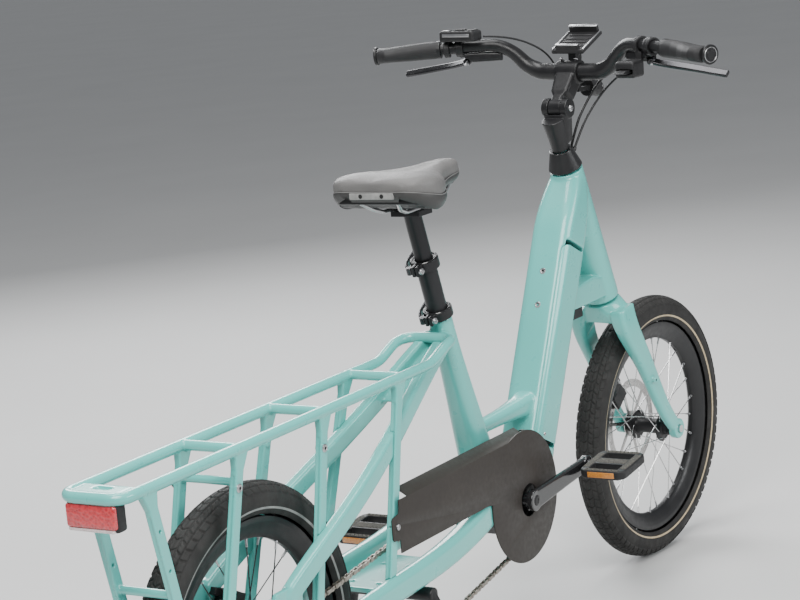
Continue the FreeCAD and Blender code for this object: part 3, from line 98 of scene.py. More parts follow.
# --------------------------------------------------------------- materials

class Look:
    """A node material: its methods add colour variation, roughness and bumps in turn."""

    def __init__(self, name, color, rough, metallic=0.0, **fixed):
        self.material = bpy.data.materials.new(name)
        self.material.use_nodes = True
        tree = self.material.node_tree
        self.nodes, self.links = tree.nodes, tree.links
        self.shader = self.nodes["Principled BSDF"]
        self.shader.inputs["Base Color"].default_value = (*color, 1)
        self.shader.inputs["Roughness"].default_value = rough
        self.shader.inputs["Metallic"].default_value = metallic
        for key, value in fixed.items():
            self.shader.inputs[key.replace("_", " ")].default_value = value
        self.color = color
        self.where = self.nodes.new("ShaderNodeTexCoord").outputs["Object"]
        self.normal = None

    def noise(self, scale, detail, rough=0.5, stretch=None):
        node = self.nodes.new("ShaderNodeTexNoise")
        node.inputs["Scale"].default_value = scale
        node.inputs["Detail"].default_value = detail
        node.inputs["Roughness"].default_value = rough
        self.links.new(self.stretched(stretch), node.inputs["Vector"])
        return node.outputs["Fac"]

    def cells(self, scale):
        node = self.nodes.new("ShaderNodeTexVoronoi")
        node.inputs["Scale"].default_value = scale
        self.links.new(self.where, node.inputs["Vector"])
        return node.outputs["Distance"]

    def stretched(self, stretch):
        if stretch is None:
            return self.where
        mapping = self.nodes.new("ShaderNodeMapping")
        mapping.inputs["Scale"].default_value = stretch
        self.links.new(self.where, mapping.inputs["Vector"])
        return mapping.outputs["Vector"]

    def ramp(self, value, low, high, first=0.0, last=1.0):
        node = self.nodes.new("ShaderNodeMapRange")
        self.links.new(value, node.inputs["Value"])
        for key, number in (("From Min", low), ("From Max", high), ("To Min", first),
                            ("To Max", last)):
            node.inputs[key].default_value = number
        return node.outputs["Result"]

    def tint(self, value, other, amount=1.0):
        """Mixes another colour in where value is high."""
        mix = self.nodes.new("ShaderNodeMix")
        mix.data_type = "RGBA"
        socket = self.shader.inputs["Base Color"]
        if socket.is_linked:
            self.links.new(socket.links[0].from_socket, mix.inputs["A"])
        else:
            mix.inputs["A"].default_value = (*self.color, 1)
        mix.inputs["B"].default_value = (*other, 1)
        self.links.new(self.ramp(value, 0.0, 1.0, 0.0, amount), mix.inputs["Factor"])
        self.links.new(mix.outputs["Result"], socket)
        return self

    def gloss(self, value, low, high):
        """Roughness runs between two values as value goes from 0.3 to 0.7."""
        self.links.new(self.ramp(value, 0.3, 0.7, low, high), self.shader.inputs["Roughness"])
        return self

    def bump(self, value, strength, distance):
        node = self.nodes.new("ShaderNodeBump")
        node.inputs["Strength"].default_value = strength
        node.inputs["Distance"].default_value = distance
        self.links.new(value, node.inputs["Height"])
        if self.normal is not None:
            self.links.new(self.normal, node.inputs["Normal"])
        self.normal = node.outputs["Normal"]
        self.links.new(self.normal, self.shader.inputs["Normal"])
        return self

    def mottle(self, scale, detail, low, high, other, amount=1.0, rough=0.5, stretch=None):
        noise = self.noise(scale, detail, rough, stretch)
        return self.tint(self.ramp(noise, low, high), other, amount)

    def facets(self, scale, low, high, other, amount=1.0):
        return self.tint(self.ramp(self.cells(scale), low, high), other, amount)

    def sheen(self, scale, detail, low, high, stretch=None):
        return self.gloss(self.noise(scale, detail, stretch=stretch), low, high)

    def grain(self, scale, detail, strength, distance, stretch=None):
        return self.bump(self.noise(scale, detail, stretch=stretch), strength, distance)

    def pebble(self, scale, strength, distance):
        return self.bump(self.cells(scale), strength, distance)


LOOKS = {}


def look(name, color, rough, metallic=0.0, **fixed):
    made = Look(name, color, rough, metallic, **fixed)
    LOOKS[name] = made.material
    return made


def make_looks():
    (look("mint_paint", (0.105, 0.49, 0.445), 0.3, Coat_Weight=0.8, Coat_Roughness=0.06,
          Coat_IOR=1.45)
     .mottle(6, 2, 0.35, 0.75, (0.12, 0.52, 0.475)).sheen(40, 4, 0.26, 0.36)
     .grain(260, 2, 0.06, 0.0004).grain(2600, 2, 0.03, 0.0001))
    (look("black_satin", (0.009, 0.009, 0.01), 0.34, Specular_IOR_Level=0.3, Coat_Weight=0.1,
          Coat_Roughness=0.2)
     .mottle(25, 4, 0.4, 0.8, (0.015, 0.015, 0.016)).sheen(90, 5, 0.3, 0.46)
     .grain(2200, 3, 0.12, 0.0002))
    (look("black_gloss", (0.012, 0.012, 0.013), 0.16, Coat_Weight=0.7, Coat_Roughness=0.06)
     .sheen(60, 4, 0.12, 0.26).grain(900, 3, 0.05, 0.0002))
    (look("post_grey", (0.022, 0.022, 0.024), 0.32, 0.5, Specular_IOR_Level=0.3)
     .mottle(14, 4, 0.45, 0.8, (0.034, 0.034, 0.036), stretch=(1, 1, 0.15))
     .sheen(70, 5, 0.26, 0.44, stretch=(1, 1, 0.08))
     .grain(1600, 3, 0.08, 0.0002, stretch=(1, 1, 0.1)))
    (look("guard_plastic", (0.028, 0.0235, 0.0205), 0.46, Specular_IOR_Level=0.3)
     .mottle(9, 4, 0.35, 0.8, (0.036, 0.031, 0.027)).sheen(120, 4, 0.42, 0.56)
     .pebble(1500, 0.22, 0.0002))
    (look("black_plastic", (0.014, 0.014, 0.015), 0.48, Specular_IOR_Level=0.3)
     .mottle(40, 3, 0.4, 0.8, (0.021, 0.021, 0.022)).sheen(200, 4, 0.4, 0.6)
     .pebble(1900, 0.3, 0.0002))
    (look("grip_rubber", (0.017, 0.017, 0.018), 0.55, Specular_IOR_Level=0.3)
     .mottle(60, 4, 0.4, 0.8, (0.025, 0.025, 0.026)).pebble(1400, 0.22, 0.0002))
    (look("hose_rubber", (0.014, 0.014, 0.015), 0.42, Specular_IOR_Level=0.3)
     .sheen(150, 4, 0.34, 0.52).grain(1200, 3, 0.1, 0.0002))
    (look("tyre_rubber", (0.018, 0.0175, 0.017), 0.7, Specular_IOR_Level=0.3)
     .mottle(28, 6, 0.42, 0.78, (0.034, 0.0325, 0.031), rough=0.62)
     .mottle(420, 3, 0.62, 0.74, (0.055, 0.052, 0.049), 0.3).sheen(60, 5, 0.55, 0.8)
     .grain(1500, 4, 0.4, 0.0004))
    (look("tan_stripe", (0.42, 0.33, 0.2), 0.4)
     .mottle(90, 4, 0.4, 0.8, (0.56, 0.46, 0.3)).pebble(1400, 0.2, 0.0002))
    (look("grey_stripe", (0.22, 0.22, 0.215), 0.42)
     .mottle(90, 4, 0.4, 0.8, (0.33, 0.33, 0.32)).pebble(1400, 0.2, 0.0002))
    (look("bright_steel", (0.62, 0.62, 0.62), 0.22, 1.0)
     .sheen(220, 4, 0.14, 0.34).grain(1800, 3, 0.06, 0.0002, stretch=(1, 1, 0.2)))
    (look("silver_satin", (0.42, 0.42, 0.43), 0.34, 1.0)
     .mottle(50, 4, 0.4, 0.8, (0.55, 0.55, 0.56)).sheen(160, 5, 0.26, 0.44)
     .grain(1500, 3, 0.08, 0.0002))
    (look("dark_spoke", (0.06, 0.06, 0.062), 0.3, 0.9)
     .sheen(200, 4, 0.22, 0.4).grain(1400, 2, 0.05, 0.0002))
    (look("chain_steel", (0.36, 0.33, 0.29), 0.32, 1.0)
     .mottle(160, 5, 0.45, 0.72, (0.12, 0.1, 0.085), 0.8).sheen(300, 4, 0.22, 0.5)
     .grain(1200, 3, 0.15, 0.0003))
    (look("disc_steel", (0.5, 0.49, 0.48), 0.26, 1.0)
     .sheen(900, 4, 0.16, 0.38).grain(2600, 3, 0.12, 0.0002))
    (look("saddle_cover", (0.115, 0.112, 0.11), 0.46)
     .mottle(24, 4, 0.35, 0.8, (0.14, 0.137, 0.134)).sheen(260, 4, 0.42, 0.6)
     .pebble(620, 0.35, 0.0006).grain(1900, 3, 0.12, 0.0002))
    (look("saddle_side", (0.045, 0.044, 0.043), 0.42, Specular_IOR_Level=0.3)
     .mottle(30, 4, 0.35, 0.8, (0.045, 0.045, 0.046)).pebble(1300, 0.4, 0.0004))
    (look("saddle_piping", (0.18, 0.178, 0.175), 0.42)
     .grain(1400, 3, 0.2, 0.0003).sheen(200, 4, 0.34, 0.5))
    (look("red_lens", (0.36, 0.012, 0.02), 0.16, Coat_Weight=1.0, Coat_Roughness=0.04,
          Subsurface_Weight=0.15)
     .facets(240, 0.0, 0.8, (0.72, 0.05, 0.06), 0.75).pebble(240, 0.9, 0.0012))
    (look("clear_lens", (0.5, 0.42, 0.42), 0.12, Coat_Weight=1.0, Coat_Roughness=0.04)
     .facets(300, 0.1, 0.8, (0.7, 0.62, 0.62), 0.8).pebble(300, 0.7, 0.001))
    (look("amber_lens", (0.42, 0.13, 0.015), 0.18, Coat_Weight=1.0, Coat_Roughness=0.05)
     .facets(500, 0.0, 0.8, (0.62, 0.25, 0.035), 0.8).pebble(500, 0.8, 0.0008))
    (look("lamp_lens", (0.55, 0.56, 0.58), 0.08, Coat_Weight=1.0, Coat_Roughness=0.02)
     .facets(260, 0.0, 0.8, (0.85, 0.86, 0.88), 0.8).pebble(260, 0.6, 0.001))
    (look("pedal_grit", (0.05, 0.047, 0.042), 0.9)
     .mottle(900, 3, 0.55, 0.7, (0.3, 0.27, 0.22), 0.8).grain(1100, 4, 1.0, 0.0012))
    # Near-black painted shade for the plugs and discs that stand in for holes.
    (look("hole_dark", (0.006, 0.006, 0.006), 0.7)
     .sheen(200, 3, 0.6, 0.8).grain(1500, 3, 0.1, 0.0002))
    (look("remote_face", (0.01, 0.01, 0.012), 0.12, Coat_Weight=0.8, Coat_Roughness=0.05)
     .sheen(80, 4, 0.08, 0.2).grain(1200, 3, 0.03, 0.0001))
    (look("lever_alloy", (0.05, 0.05, 0.053), 0.24, 0.9)
     .mottle(60, 4, 0.4, 0.8, (0.07, 0.07, 0.073)).sheen(60, 2, 0.22, 0.28)
     .grain(1500, 3, 0.03, 0.0001))


make_looks()


# ------------------------------------------------------------ mesh helpers

def finish_piece(mesh, name, material, body, replaced=(), smooth=True):
    """Makes an object of a mesh, dresses it and hangs it on its CAD body."""
    piece = bpy.data.objects.new(name, mesh)
    bpy.context.scene.collection.objects.link(piece)
    for each in material if isinstance(material, (list, tuple)) else (material,):
        mesh.materials.append(LOOKS[each])
    if smooth:
        mesh.shade_smooth()
    if body:
        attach(piece, body)
    if replaced:
        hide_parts(*replaced)
    return piece


def from_lists(name, points, faces):
    mesh = bpy.data.meshes.new(name)
    mesh.from_pydata([tuple(p) for p in points], [], faces)
    mesh.validate()
    mesh.update()
    return mesh


def with_modifiers(mesh, steps):
    """Applies modifiers, each a (type, {setting: value}) pair, and returns the new mesh."""
    holder = bpy.data.objects.new("holder", mesh)
    bpy.context.scene.collection.objects.link(holder)
    for kind, settings in steps:
        modifier = holder.modifiers.new(kind.lower(), kind)
        for key, value in settings.items():
            setattr(modifier, key, value)
    bpy.context.view_layer.update()
    evaluated = holder.evaluated_get(bpy.context.evaluated_depsgraph_get())
    result = bpy.data.meshes.new_from_object(evaluated)
    bpy.data.objects.remove(holder)
    return result


def merge_flat(made):
    bmesh.ops.dissolve_limit(made, angle_limit=math.radians(1.0), verts=made.verts,
                             edges=made.edges)


def node_mesh(names):
    """The CAD nodes' meshes joined into one, with their shared points welded."""
    made = bmesh.new()
    for name in names.split():
        made.from_mesh(frame["nodes"][name].data)
    bmesh.ops.remove_doubles(made, verts=made.verts, dist=1e-6)
    mesh = bpy.data.meshes.new("joined")
    made.to_mesh(mesh)
    made.free()
    mesh.materials.clear()
    return mesh


def skin(name, nodes, material, body, voxel, smoothing, slot, factor=0.5):
    """The CAD nodes as one cast or welded skin, with soft edges and filled corners."""
    mesh = with_modifiers(node_mesh(nodes), [
        ("REMESH", {"mode": "VOXEL", "voxel_size": voxel * MM, "adaptivity": 0.0}),
        ("SMOOTH", {"factor": factor, "iterations": smoothing})])
    mesh.materials.clear()
    mesh.name = name
    finish_piece(mesh, name, material, body, nodes.split())


def machined(name, nodes, material, body, edge, slot):
    """The CAD nodes with their coplanar facets merged and their edges rounded off."""
    mesh = node_mesh(nodes)
    flat = bmesh.new()
    flat.from_mesh(mesh)
    merge_flat(flat)
    flat.to_mesh(mesh)
    flat.free()
    mesh = with_modifiers(mesh, [("BEVEL", {
        "width": edge * MM, "segments": 2, "limit_method": "ANGLE",
        "angle_limit": math.radians(35), "harden_normals": False})])
    mesh.materials.clear()
    mesh.name = name
    finish_piece(mesh, name, material, body, nodes.split())
    mesh.set_sharp_from_angle(angle=math.radians(32))


def curve_points(points, steps=8):
    """Points along a smooth curve through the given ones, in even shares of each span."""
    made = []
    ends = [points[0] * 2 - points[1]] + list(points) + [points[-1] * 2 - points[-2]]
    for a, b, c, d in zip(ends, ends[1:], ends[2:], ends[3:]):
        for i in range(steps):
            t = i / steps
            made.append(0.5 * ((2 * b) + (c - a) * t + (2 * a - 5 * b + 4 * c - d) * t ** 2
                               + (3 * b - a - 3 * c + d) * t ** 3))
    return made + [points[-1].copy()]


def curve_values(values, steps=8):
    line = curve_points([Vector((value, 0, 0)) for value in values], steps)
    return [point.x for point in line]


def ring_faces(rows, sides):
    """Four-sided faces between closed rows of points."""
    faces = []
    for i in range(rows - 1):
        for k in range(sides):
            n = (k + 1) % sides
            faces.append((i * sides + k, i * sides + n, (i + 1) * sides + n, (i + 1) * sides + k))
    return faces


def end_faces(rows, sides):
    return [tuple(reversed(range(sides))), tuple(range((rows - 1) * sides, rows * sides))]


def tube(points, radii, sides=20, capped=True):
    """Rings of points round a line, each with its own radius."""
    verts, across = [], None
    for i, (point, radius) in enumerate(zip(points, radii)):
        along = (points[min(i + 1, len(points) - 1)] - points[max(i - 1, 0)]).normalized()
        if across is None:
            across = along.orthogonal()
        across = (across - along * across.dot(along)).normalized()
        up = along.cross(across)
        for k in range(sides):
            angle = 2 * math.pi * k / sides
            verts.append(point + (across * math.cos(angle) + up * math.sin(angle)) * radius)
    ends = end_faces(len(points), sides) if capped else []
    return verts, ring_faces(len(points), sides) + ends


def turned(centre, axis, profile, sides=48):
    """A solid of revolution: profile is (radius, distance along the axis) pairs, in mm."""
    axis = axis.normalized()
    across = axis.orthogonal().normalized()
    up = axis.cross(across)
    verts = []
    for radius, along in profile:
        for k in range(sides):
            angle = 2 * math.pi * k / sides
            verts.append(centre + axis * (along * MM) + (
                across * math.cos(angle) + up * math.sin(angle)) * (radius * MM))
    return verts, ring_faces(len(profile), sides)


def capped_turn(centre, axis, profile, sides=32):
    """A turned solid whose two ends are closed."""
    verts, faces = turned(centre, axis, profile, sides)
    return verts, faces + end_faces(len(profile), sides)


def merged(pieces):
    """Several (points, faces) pairs as one."""
    verts, faces = [], []
    for points, polygons in pieces:
        offset = len(verts)
        verts += list(points)
        faces += [tuple(index + offset for index in polygon) for polygon in polygons]
    return verts, faces


def simple(name, shape, material, body, replaced=(), sharp=40):
    mesh = from_lists(name, *shape)
    finish_piece(mesh, name, material, body, replaced)
    mesh.set_sharp_from_angle(angle=math.radians(sharp))


def rounded_slab(centre, axes, half, edge, layers=3):
    """A box with rounded edges in all directions: axes are three unit vectors."""
    rounded = bmesh.new()
    bmesh.ops.create_cube(rounded, size=2.0)
    for vert in rounded.verts:
        vert.co = Vector(vert.co[i] * half[i] for i in range(3))
    bmesh.ops.bevel(rounded, geom=list(rounded.edges), offset=edge, segments=layers,
                    profile=0.5, affect="EDGES")
    verts = [centre + sum((axes[i] * (v.co[i] * MM) for i in range(3)), Vector())
             for v in rounded.verts]
    faces = [tuple(v.index for v in f.verts) for f in rounded.faces]
    rounded.free()
    return verts, faces


def screw(centre, axis, radius, height):
    """A button-head screw with a round socket in it."""
    return turned(centre, axis, [
        (radius, 0), (radius, height * 0.35), (radius * 0.86, height * 0.8),
        (radius * 0.6, height), (radius * 0.48, height), (radius * 0.44, height * 0.35),
        (0.01, height * 0.3)], 24)


# --------------------------------------------------------- frame and rack

SKINS = (
    ("welded_frame", "head_tube down_tube seat_tube stay_tubes frame_plates", "mint_paint",
     "frame", 2.0, 5, "frame_paint"),
    ("rack", "rack_loop rack_struts", "mint_paint", "frame", 1.4, 3, "frame_paint"),
    ("fork_skin", "fork", "mint_paint", "fork", 1.5, 14, "frame_paint", 0.6),
    ("clamp_ring", "seat_clamp", "black_satin", "frame", 0.9, 3, "black_metal"),
    ("motor", "drive_unit", "black_plastic", "frame", 2.0, 6, "black_metal"),
    ("stop_block", "steering_stop", "grip_rubber", "frame", 1.2, 5, "black_rubber"),
    ("stand", "kickstand", "black_satin", "kickstand", 1.8, 4, "black_metal"),
    ("rear_cage", "derailleur", "black_satin", "frame", 1.0, 3, "black_metal"),
    ("caliper_front", "front_caliper", "black_satin", "fork", 1.0, 4, "black_metal"),
    ("caliper_rear", "rear_caliper", "black_satin", "frame", 1.0, 4, "black_metal"),
    ("cranks", "crank_arms", "black_gloss", "crankset", 1.1, 6, "black_metal", 0.6),
    ("stem_lower", "stem_base", "black_satin", "fork", 1.0, 5, "black_metal"),
    ("stem_upper", "stem_arm", "black_satin", "handlebar", 1.0, 5, "black_metal"),
    ("cone", "cone_spacer", "black_satin", "fork", 1.0, 2, "black_metal"),
    ("brakes", "brake_bodies", "black_satin", "handlebar", 0.9, 4, "black_metal"),
    ("housings", "control_housings", "black_plastic", "handlebar", 0.8, 3, "black_plastic"),
    ("assist_key", "assist_button", "grip_rubber", "assist_button", 0.5, 2, "black_plastic"),
    ("paddle", "shift_paddle", "black_plastic", "shift_paddle", 0.5, 2, "black_plastic"),
    ("cradle", "phone_cradle", "black_plastic", "handlebar", 0.8, 2, "black_plastic"),
    ("lamp_body", "front_light", "black_plastic", "handlebar", 0.8, 3, "black_plastic"),
    ("saddle_base", "saddle_shell", "black_plastic", "post_upper", 1.2, 3, "black_plastic"),
    ("rails", "saddle_rails", "silver_satin", "post_upper", 0.7, 2, "silver_metal"),
    ("post_inner", "seatpost_upper", "post_grey", "post_upper", 1.0, 2, "black_metal"),
    ("post_outer", "seatpost_lower", "post_grey", "post_lower", 1.0, 2, "black_metal"),
    ("lever_left_blade", "lever_left", "lever_alloy", "lever_left", 0.7, 3, "silver_metal"),
    ("lever_right_blade", "lever_right", "lever_alloy", "lever_right", 0.7, 3, "silver_metal"),
    ("seat_lever_arm", "seat_lever", "lever_alloy", "seat_lever", 0.6, 3, "silver_metal"),
    ("post_lever_arm", "post_lever", "lever_alloy", "post_lever", 0.6, 3, "silver_metal"),
    ("pedal_right_body", "pedal_right", "black_plastic", "pedal_right", 1.0, 3,
     "black_plastic"),
    ("pedal_left_body", "pedal_left", "black_plastic", "pedal_left", 1.0, 3, "black_plastic"))
MACHINED = (
    ("cover", "battery_cover", "mint_paint", "battery", 1.4, "frame_paint"),
    ("guard", "chain_guard", "guard_plastic", "frame", 0.5, "black_plastic"),
    ("ring", "chainring", "black_satin", "crankset", 0.15, "chain_steel"),
    ("sprockets", "cassette", "chain_steel", "cassette", 0.15, "chain_steel"),
    ("jockey_upper_wheel", "jockey_upper", "black_plastic", "jockey_upper", 0.15,
     "black_plastic"),
    ("jockey_lower_wheel", "jockey_lower", "black_plastic", "jockey_lower", 0.15,
     "black_plastic"))


def boss(centre, axis):
    """A raised boss round its tapped hole, drawn as two rings: the inner one is a near-black plug of painted shade
    for the hole's depth.
    """
    radius, hole, height = 5.6, 2.5, 1.2
    ring = turned(centre - axis * (0.6 * MM), axis, [
        (radius + 1.2, 0), (radius, height * 0.5 + 0.4), (radius - 0.8, height + 0.6),
        (hole + 0.5, height + 0.6), (hole, height + 0.2), (hole, -0.6)], 28)
    # The plug is painted shade: a near-black cone just inside the mouth, where the hole's depth would be dark.
    plug = turned(centre, axis, [(hole + 0.05, 0.55), (hole * 0.6, -0.2), (0.01, -0.3)], 20)
    return ring, plug


def bosses():
    for body, material in (("frame", "silver_satin"), ("fork", "mint_paint")):
        rings, plugs = [], []
        for mount in frame["record"]["mounts"]:
            on_fork = "fork" in mount["name"]
            if mount["kind"] != "threaded_hole" or on_fork != (body == "fork"):
                continue
            axis = Vector(mount["axis"])
            mouth = Vector(mount["pos_m"]) + axis * (mount["dims"]["length_mm"] / 2 * MM)
            ring, plug = boss(mouth, axis)
            rings.append(ring)
            plugs.append(plug)
        simple(body + "_bosses", merged(rings), material, body)
        simple(body + "_boss_hole_shade", merged(plugs), "hole_dark", body)
    simple("cover_screw", screw(on_down(-205, -40.2, -18), -LEFT, 3.4, 2.0), "bright_steel",
           "battery")


def rear_lamp():
    """A red lens with a clear lower edge, under the rack's rear plate."""
    low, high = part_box("rear_light")
    centre = (low + high) / 2
    half = (high - low) / 2 / MM
    for part, ahead, rise, size, edge, layers, material, replaced in (
            ("case", 2.0, 0, (half.x - 2.4, half.y - 0.6, half.z - 0.4), 5, 4, "black_plastic",
             ("rear_light",)),
            ("lens", -2.0, 1.8, (half.x - 2.2, half.y - 2.2, half.z - 3.4), 4.5, 4, "red_lens",
             ()),
            ("edge", -2.6, 3.2 - half.z, (half.x - 2.8, half.y - 6, 2.2), 2, 3, "clear_lens",
             ())):
        shape = rounded_slab(centre + (FORWARD * ahead + UP * rise) * MM, (FORWARD, LEFT, UP),
                             size, edge, layers)
        simple("rear_lamp_" + part, shape, material, "frame", replaced)


# ------------------------------------------------------------------ wheels

TREAD_PITCH, TREAD_COUNT, TREAD_DEPTH = 19.6, 84, 2.1
TREAD_EDGE = 31.6
TYRE_CORE, TYRE_SECTION = 233.0, 29.0


def tread_height(across, round_):
    """How high the tread stands, 0 to 1, at a distance across and round the tyre, in mm."""
    side = np.abs(across)
    height = np.ones_like(across)

    def groove(distance, width):
        return np.clip((np.abs(distance) - width / 2) / 0.7, 0, 1)

    for row, (start, stop, slope, shift, wide) in enumerate((
            (0.0, 8.8, 0.75, 0.0, 2.2), (8.8, 19.5, -0.55, 7.5, 2.6),
            (19.5, 31.0, 0.35, 2.0, 3.2))):
        inside = (side >= start) & (side < stop)
        handed = round_ + np.where(across > 0, TREAD_PITCH / 2 if row else 0.0, 0.0)
        phase = (handed + slope * side + shift) % TREAD_PITCH - TREAD_PITCH / 2
        height = np.where(inside, np.minimum(height, groove(phase, wide)), height)
        if row == 1:
            sipe = (handed + slope * side + shift + TREAD_PITCH / 2) % TREAD_PITCH \
                - TREAD_PITCH / 2
            height = np.where(inside, np.minimum(height, 0.55 + 0.45 * groove(sipe, 0.9)), height)
    for edge, wide in ((8.8, 1.7), (19.5, 1.7)):
        height = np.minimum(height, groove(side - edge, wide))
    height = np.minimum(height, 0.5 + 0.5 * groove(side, 1.1))
    return height * np.clip((31.5 - side) / 1.2, 0, 1)


def make_tyre(end, axle, at, stripe):
    """A tyre as a fine grid round its section, its tread cut as grooves into the blocks."""
    steps = 18 * TREAD_COUNT
    crown = np.linspace(-TREAD_EDGE, TREAD_EDGE, 62)
    wall = [33.0, 35.5, 39.0, 43.0, 47.5, 51.5, 54.6, 55.0, 58.6, 59.0, 62.0, 65.5, 68.5]
    rows = np.concatenate([-np.array(wall[::-1]), crown, wall])
    phi = rows / TYRE_SECTION
    turn = np.linspace(0, 2 * math.pi, steps, endpoint=False)
    across, round_ = np.meshgrid(rows, turn * TREAD_PITCH * TREAD_COUNT / (2 * math.pi),
                                 indexing="ij")
    reach = np.abs(across)
    height = np.where(reach < TREAD_EDGE, tread_height(across, round_), 0.0)
    ribs = np.where((reach > 62) & (reach < 66), 0.5, 0.0)
    sunk = np.where(reach > TREAD_EDGE, np.clip(1 - (reach - TREAD_EDGE) / 26, 0, 1), 1 - height)
    radius = TYRE_SECTION - TREAD_DEPTH * sunk + ribs - 0.15
    out = TYRE_CORE + radius * np.cos(phi)[:, None]
    side = radius * np.sin(phi)[:, None]
    xs = axle.x / MM + out * np.cos(turn)[None, :]
    zs = axle.z / MM + out * np.sin(turn)[None, :]
    points = np.stack([xs, np.broadcast_to(side, xs.shape) + axle.y / MM, zs], -1)
    points = points.reshape(-1, 3) * MM
    count = len(rows)
    i, k = np.meshgrid(np.arange(count - 1), np.arange(steps), indexing="ij")
    n = (k + 1) % steps
    faces = np.stack([i * steps + k, (i + 1) * steps + k, (i + 1) * steps + n, i * steps + n],
                     -1).reshape(-1, 4)
    mesh = bpy.data.meshes.new("tyre_" + end)
    mesh.from_pydata(points.tolist(), [], faces.tolist())
    middle = (np.abs(rows[:-1]) + np.abs(rows[1:])) / 2
    striped = ((middle > 55.0) & (middle < 58.7)).astype(np.int32)
    mesh.polygons.foreach_set("material_index", np.repeat(striped, steps))
    mesh.transform(at)
    mesh.update()
    finish_piece(mesh, "tyre_" + end, ["tyre_rubber", stripe], end + "_wheel",
                 (end + "_tyre",))


def make_rim(end, axle, at):
    half = [(209.6, 12.4), (209.8, 15.8), (208.6, 17.0), (201.0, 17.0), (199.6, 16.4),
            (196.0, 15.6), (184.0, 10.6), (179.0, 7.4), (176.4, 4.0), (176.0, 0.0)]
    bed = [(203.4, 12.2), (201.0, 8.0), (200.0, 0.0)]
    profile = half + [(r, -y) for r, y in reversed(half[:-1])] + [
        (r, -y) for r, y in bed] + [(r, y) for r, y in reversed(bed[:-1])] + half[:1]
    shape = turned(at @ axle, at.to_3x3() @ LEFT, profile, 180)
    simple("rim_" + end, shape, "black_satin", end + "_wheel", (end + "_rim",),
           28)


def spoke_ends(half_left, half_right):
    """Hub end and rim end of each crossed spoke, the same as the frame's plain pins."""
    count, flange, well = 28, 24.0, 177.0
    for i in range(count):
        side = 1 if i % 2 else -1
        leading = (i // 2) % 2
        half = half_left if side > 0 else half_right
        at_rim = 2 * math.pi * (i + 0.5) / count
        at_hub = at_rim + math.radians(52 if leading else -52)
        depth = side * (half + (3.2 if leading else -3.2))
        yield (Vector((flange * math.cos(at_hub), depth, flange * math.sin(at_hub))),
               Vector((well * math.cos(at_rim), side * 2.5, well * math.sin(at_rim))))


def make_spokes(end, axle, at, halves, material):
    wires, nipples = [], []
    for hub_end, rim_end in spoke_ends(*halves):
        start, stop = at @ (axle + hub_end * MM), at @ (axle + rim_end * MM)
        along = (stop - start).normalized()
        wires.append(tube([start - along * (2.5 * MM), start, stop], [0.95 * MM] * 3, 8))
        nipples.append(tube([stop + along * (d * MM) for d in (-13, -12.4, -3, -2.6, 1)],
                            [r * MM for r in (1.3, 1.9, 1.9, 2.6, 2.6)], 8))
    simple("spokes_" + end, merged(wires), material, end + "_wheel", (end + "_spokes",))
    simple("spokes_%s_nipples" % end, merged(nipples), "silver_satin", end + "_wheel")


def make_hub(end, axle, at, halves, ends, disc_y):
    """A hub shell with its flanges, and the brake disc on its left end."""
    (left, right), (end_left, end_right) = halves, ends
    flange = [(18, 3.4), (27.6, 2.2), (29, 1.2), (29, -1), (27.4, -1.8), (18, -3), (15.4, -9)]
    profile = [(8.5, -end_right), (13.5, -end_right), (15.5, 1.2 - end_right),
               (15.5, -right - 6)] + [(r, -right - y) for r, y in flange] + [(14.6, 0)]
    profile += [(r, left + y) for r, y in reversed(flange)] + [
        (15.5, left + 6), (15.5, end_left - 1.2), (13.5, end_left), (8.5, end_left)]
    axis, centre, node = (at.to_3x3() @ LEFT).normalized(), at @ axle, end + "_hub"
    simple("hub_%s_shell" % end, turned(centre, axis, profile, 64), "black_satin",
           end + "_wheel", (node,), 30)
    disc = bmesh.new()
    disc.from_mesh(frame["nodes"][node].data)

    def on_disc(vert):
        along = (vert.co - centre).dot(axis)
        away = (vert.co - centre - axis * along).length
        return disc_y - 0.3 < along / MM < disc_y + 2.1 and away / MM > 14.9

    bmesh.ops.delete(disc, geom=[v for v in disc.verts if not on_disc(v)], context="VERTS")
    bmesh.ops.remove_doubles(disc, verts=disc.verts, dist=1e-6)
    merge_flat(disc)
    mesh = bpy.data.meshes.new("hub_%s_disc" % end)
    disc.to_mesh(mesh)
    disc.free()
    mesh.materials.clear()
    finish_piece(mesh, mesh.name, "disc_steel", end + "_wheel",
                 smooth=False)


def valve(end, axle, at, degrees):
    out = toward(degrees)
    shape = turned(at @ (axle + out * (177 * MM)), at.to_3x3() @ -out, [
        (3.9, 0), (3.9, 4), (2.9, 5), (2.9, 22), (2.4, 24), (3.9, 25), (3.9, 34), (3.2, 36),
        (0.01, 36.4)], 20)
    simple("valve_" + end, shape, "black_plastic", end + "_wheel")


def wheels():
    for end, axle, at, stripe, wire, halves, ends, disc_y, valve_angle in (
            ("front", place(1386.4, 0, 262), STEER, "tan_stripe", "bright_steel", (26, 30),
             (46, 46), 42, 200),
            ("rear", place(0, 0, 262), STRAIGHT, "grey_stripe", "dark_spoke", (30, 22),
             (66, 30), 50, 20)):
        make_tyre(end, axle, at, stripe)
        make_rim(end, axle, at)
        make_spokes(end, axle, at, halves, wire)
        make_hub(end, axle, at, halves, ends, disc_y)
        valve(end, axle, at, valve_angle)


# -------------------------------------------------------------- drive train

CHAIN_Y, LINK = -50.0, 12.7
CRANK = (752.0, 293.0)
CRANK_RISE = 7.4


def pitch_radius(teeth):
    return LINK / (2 * math.sin(math.pi / teeth))


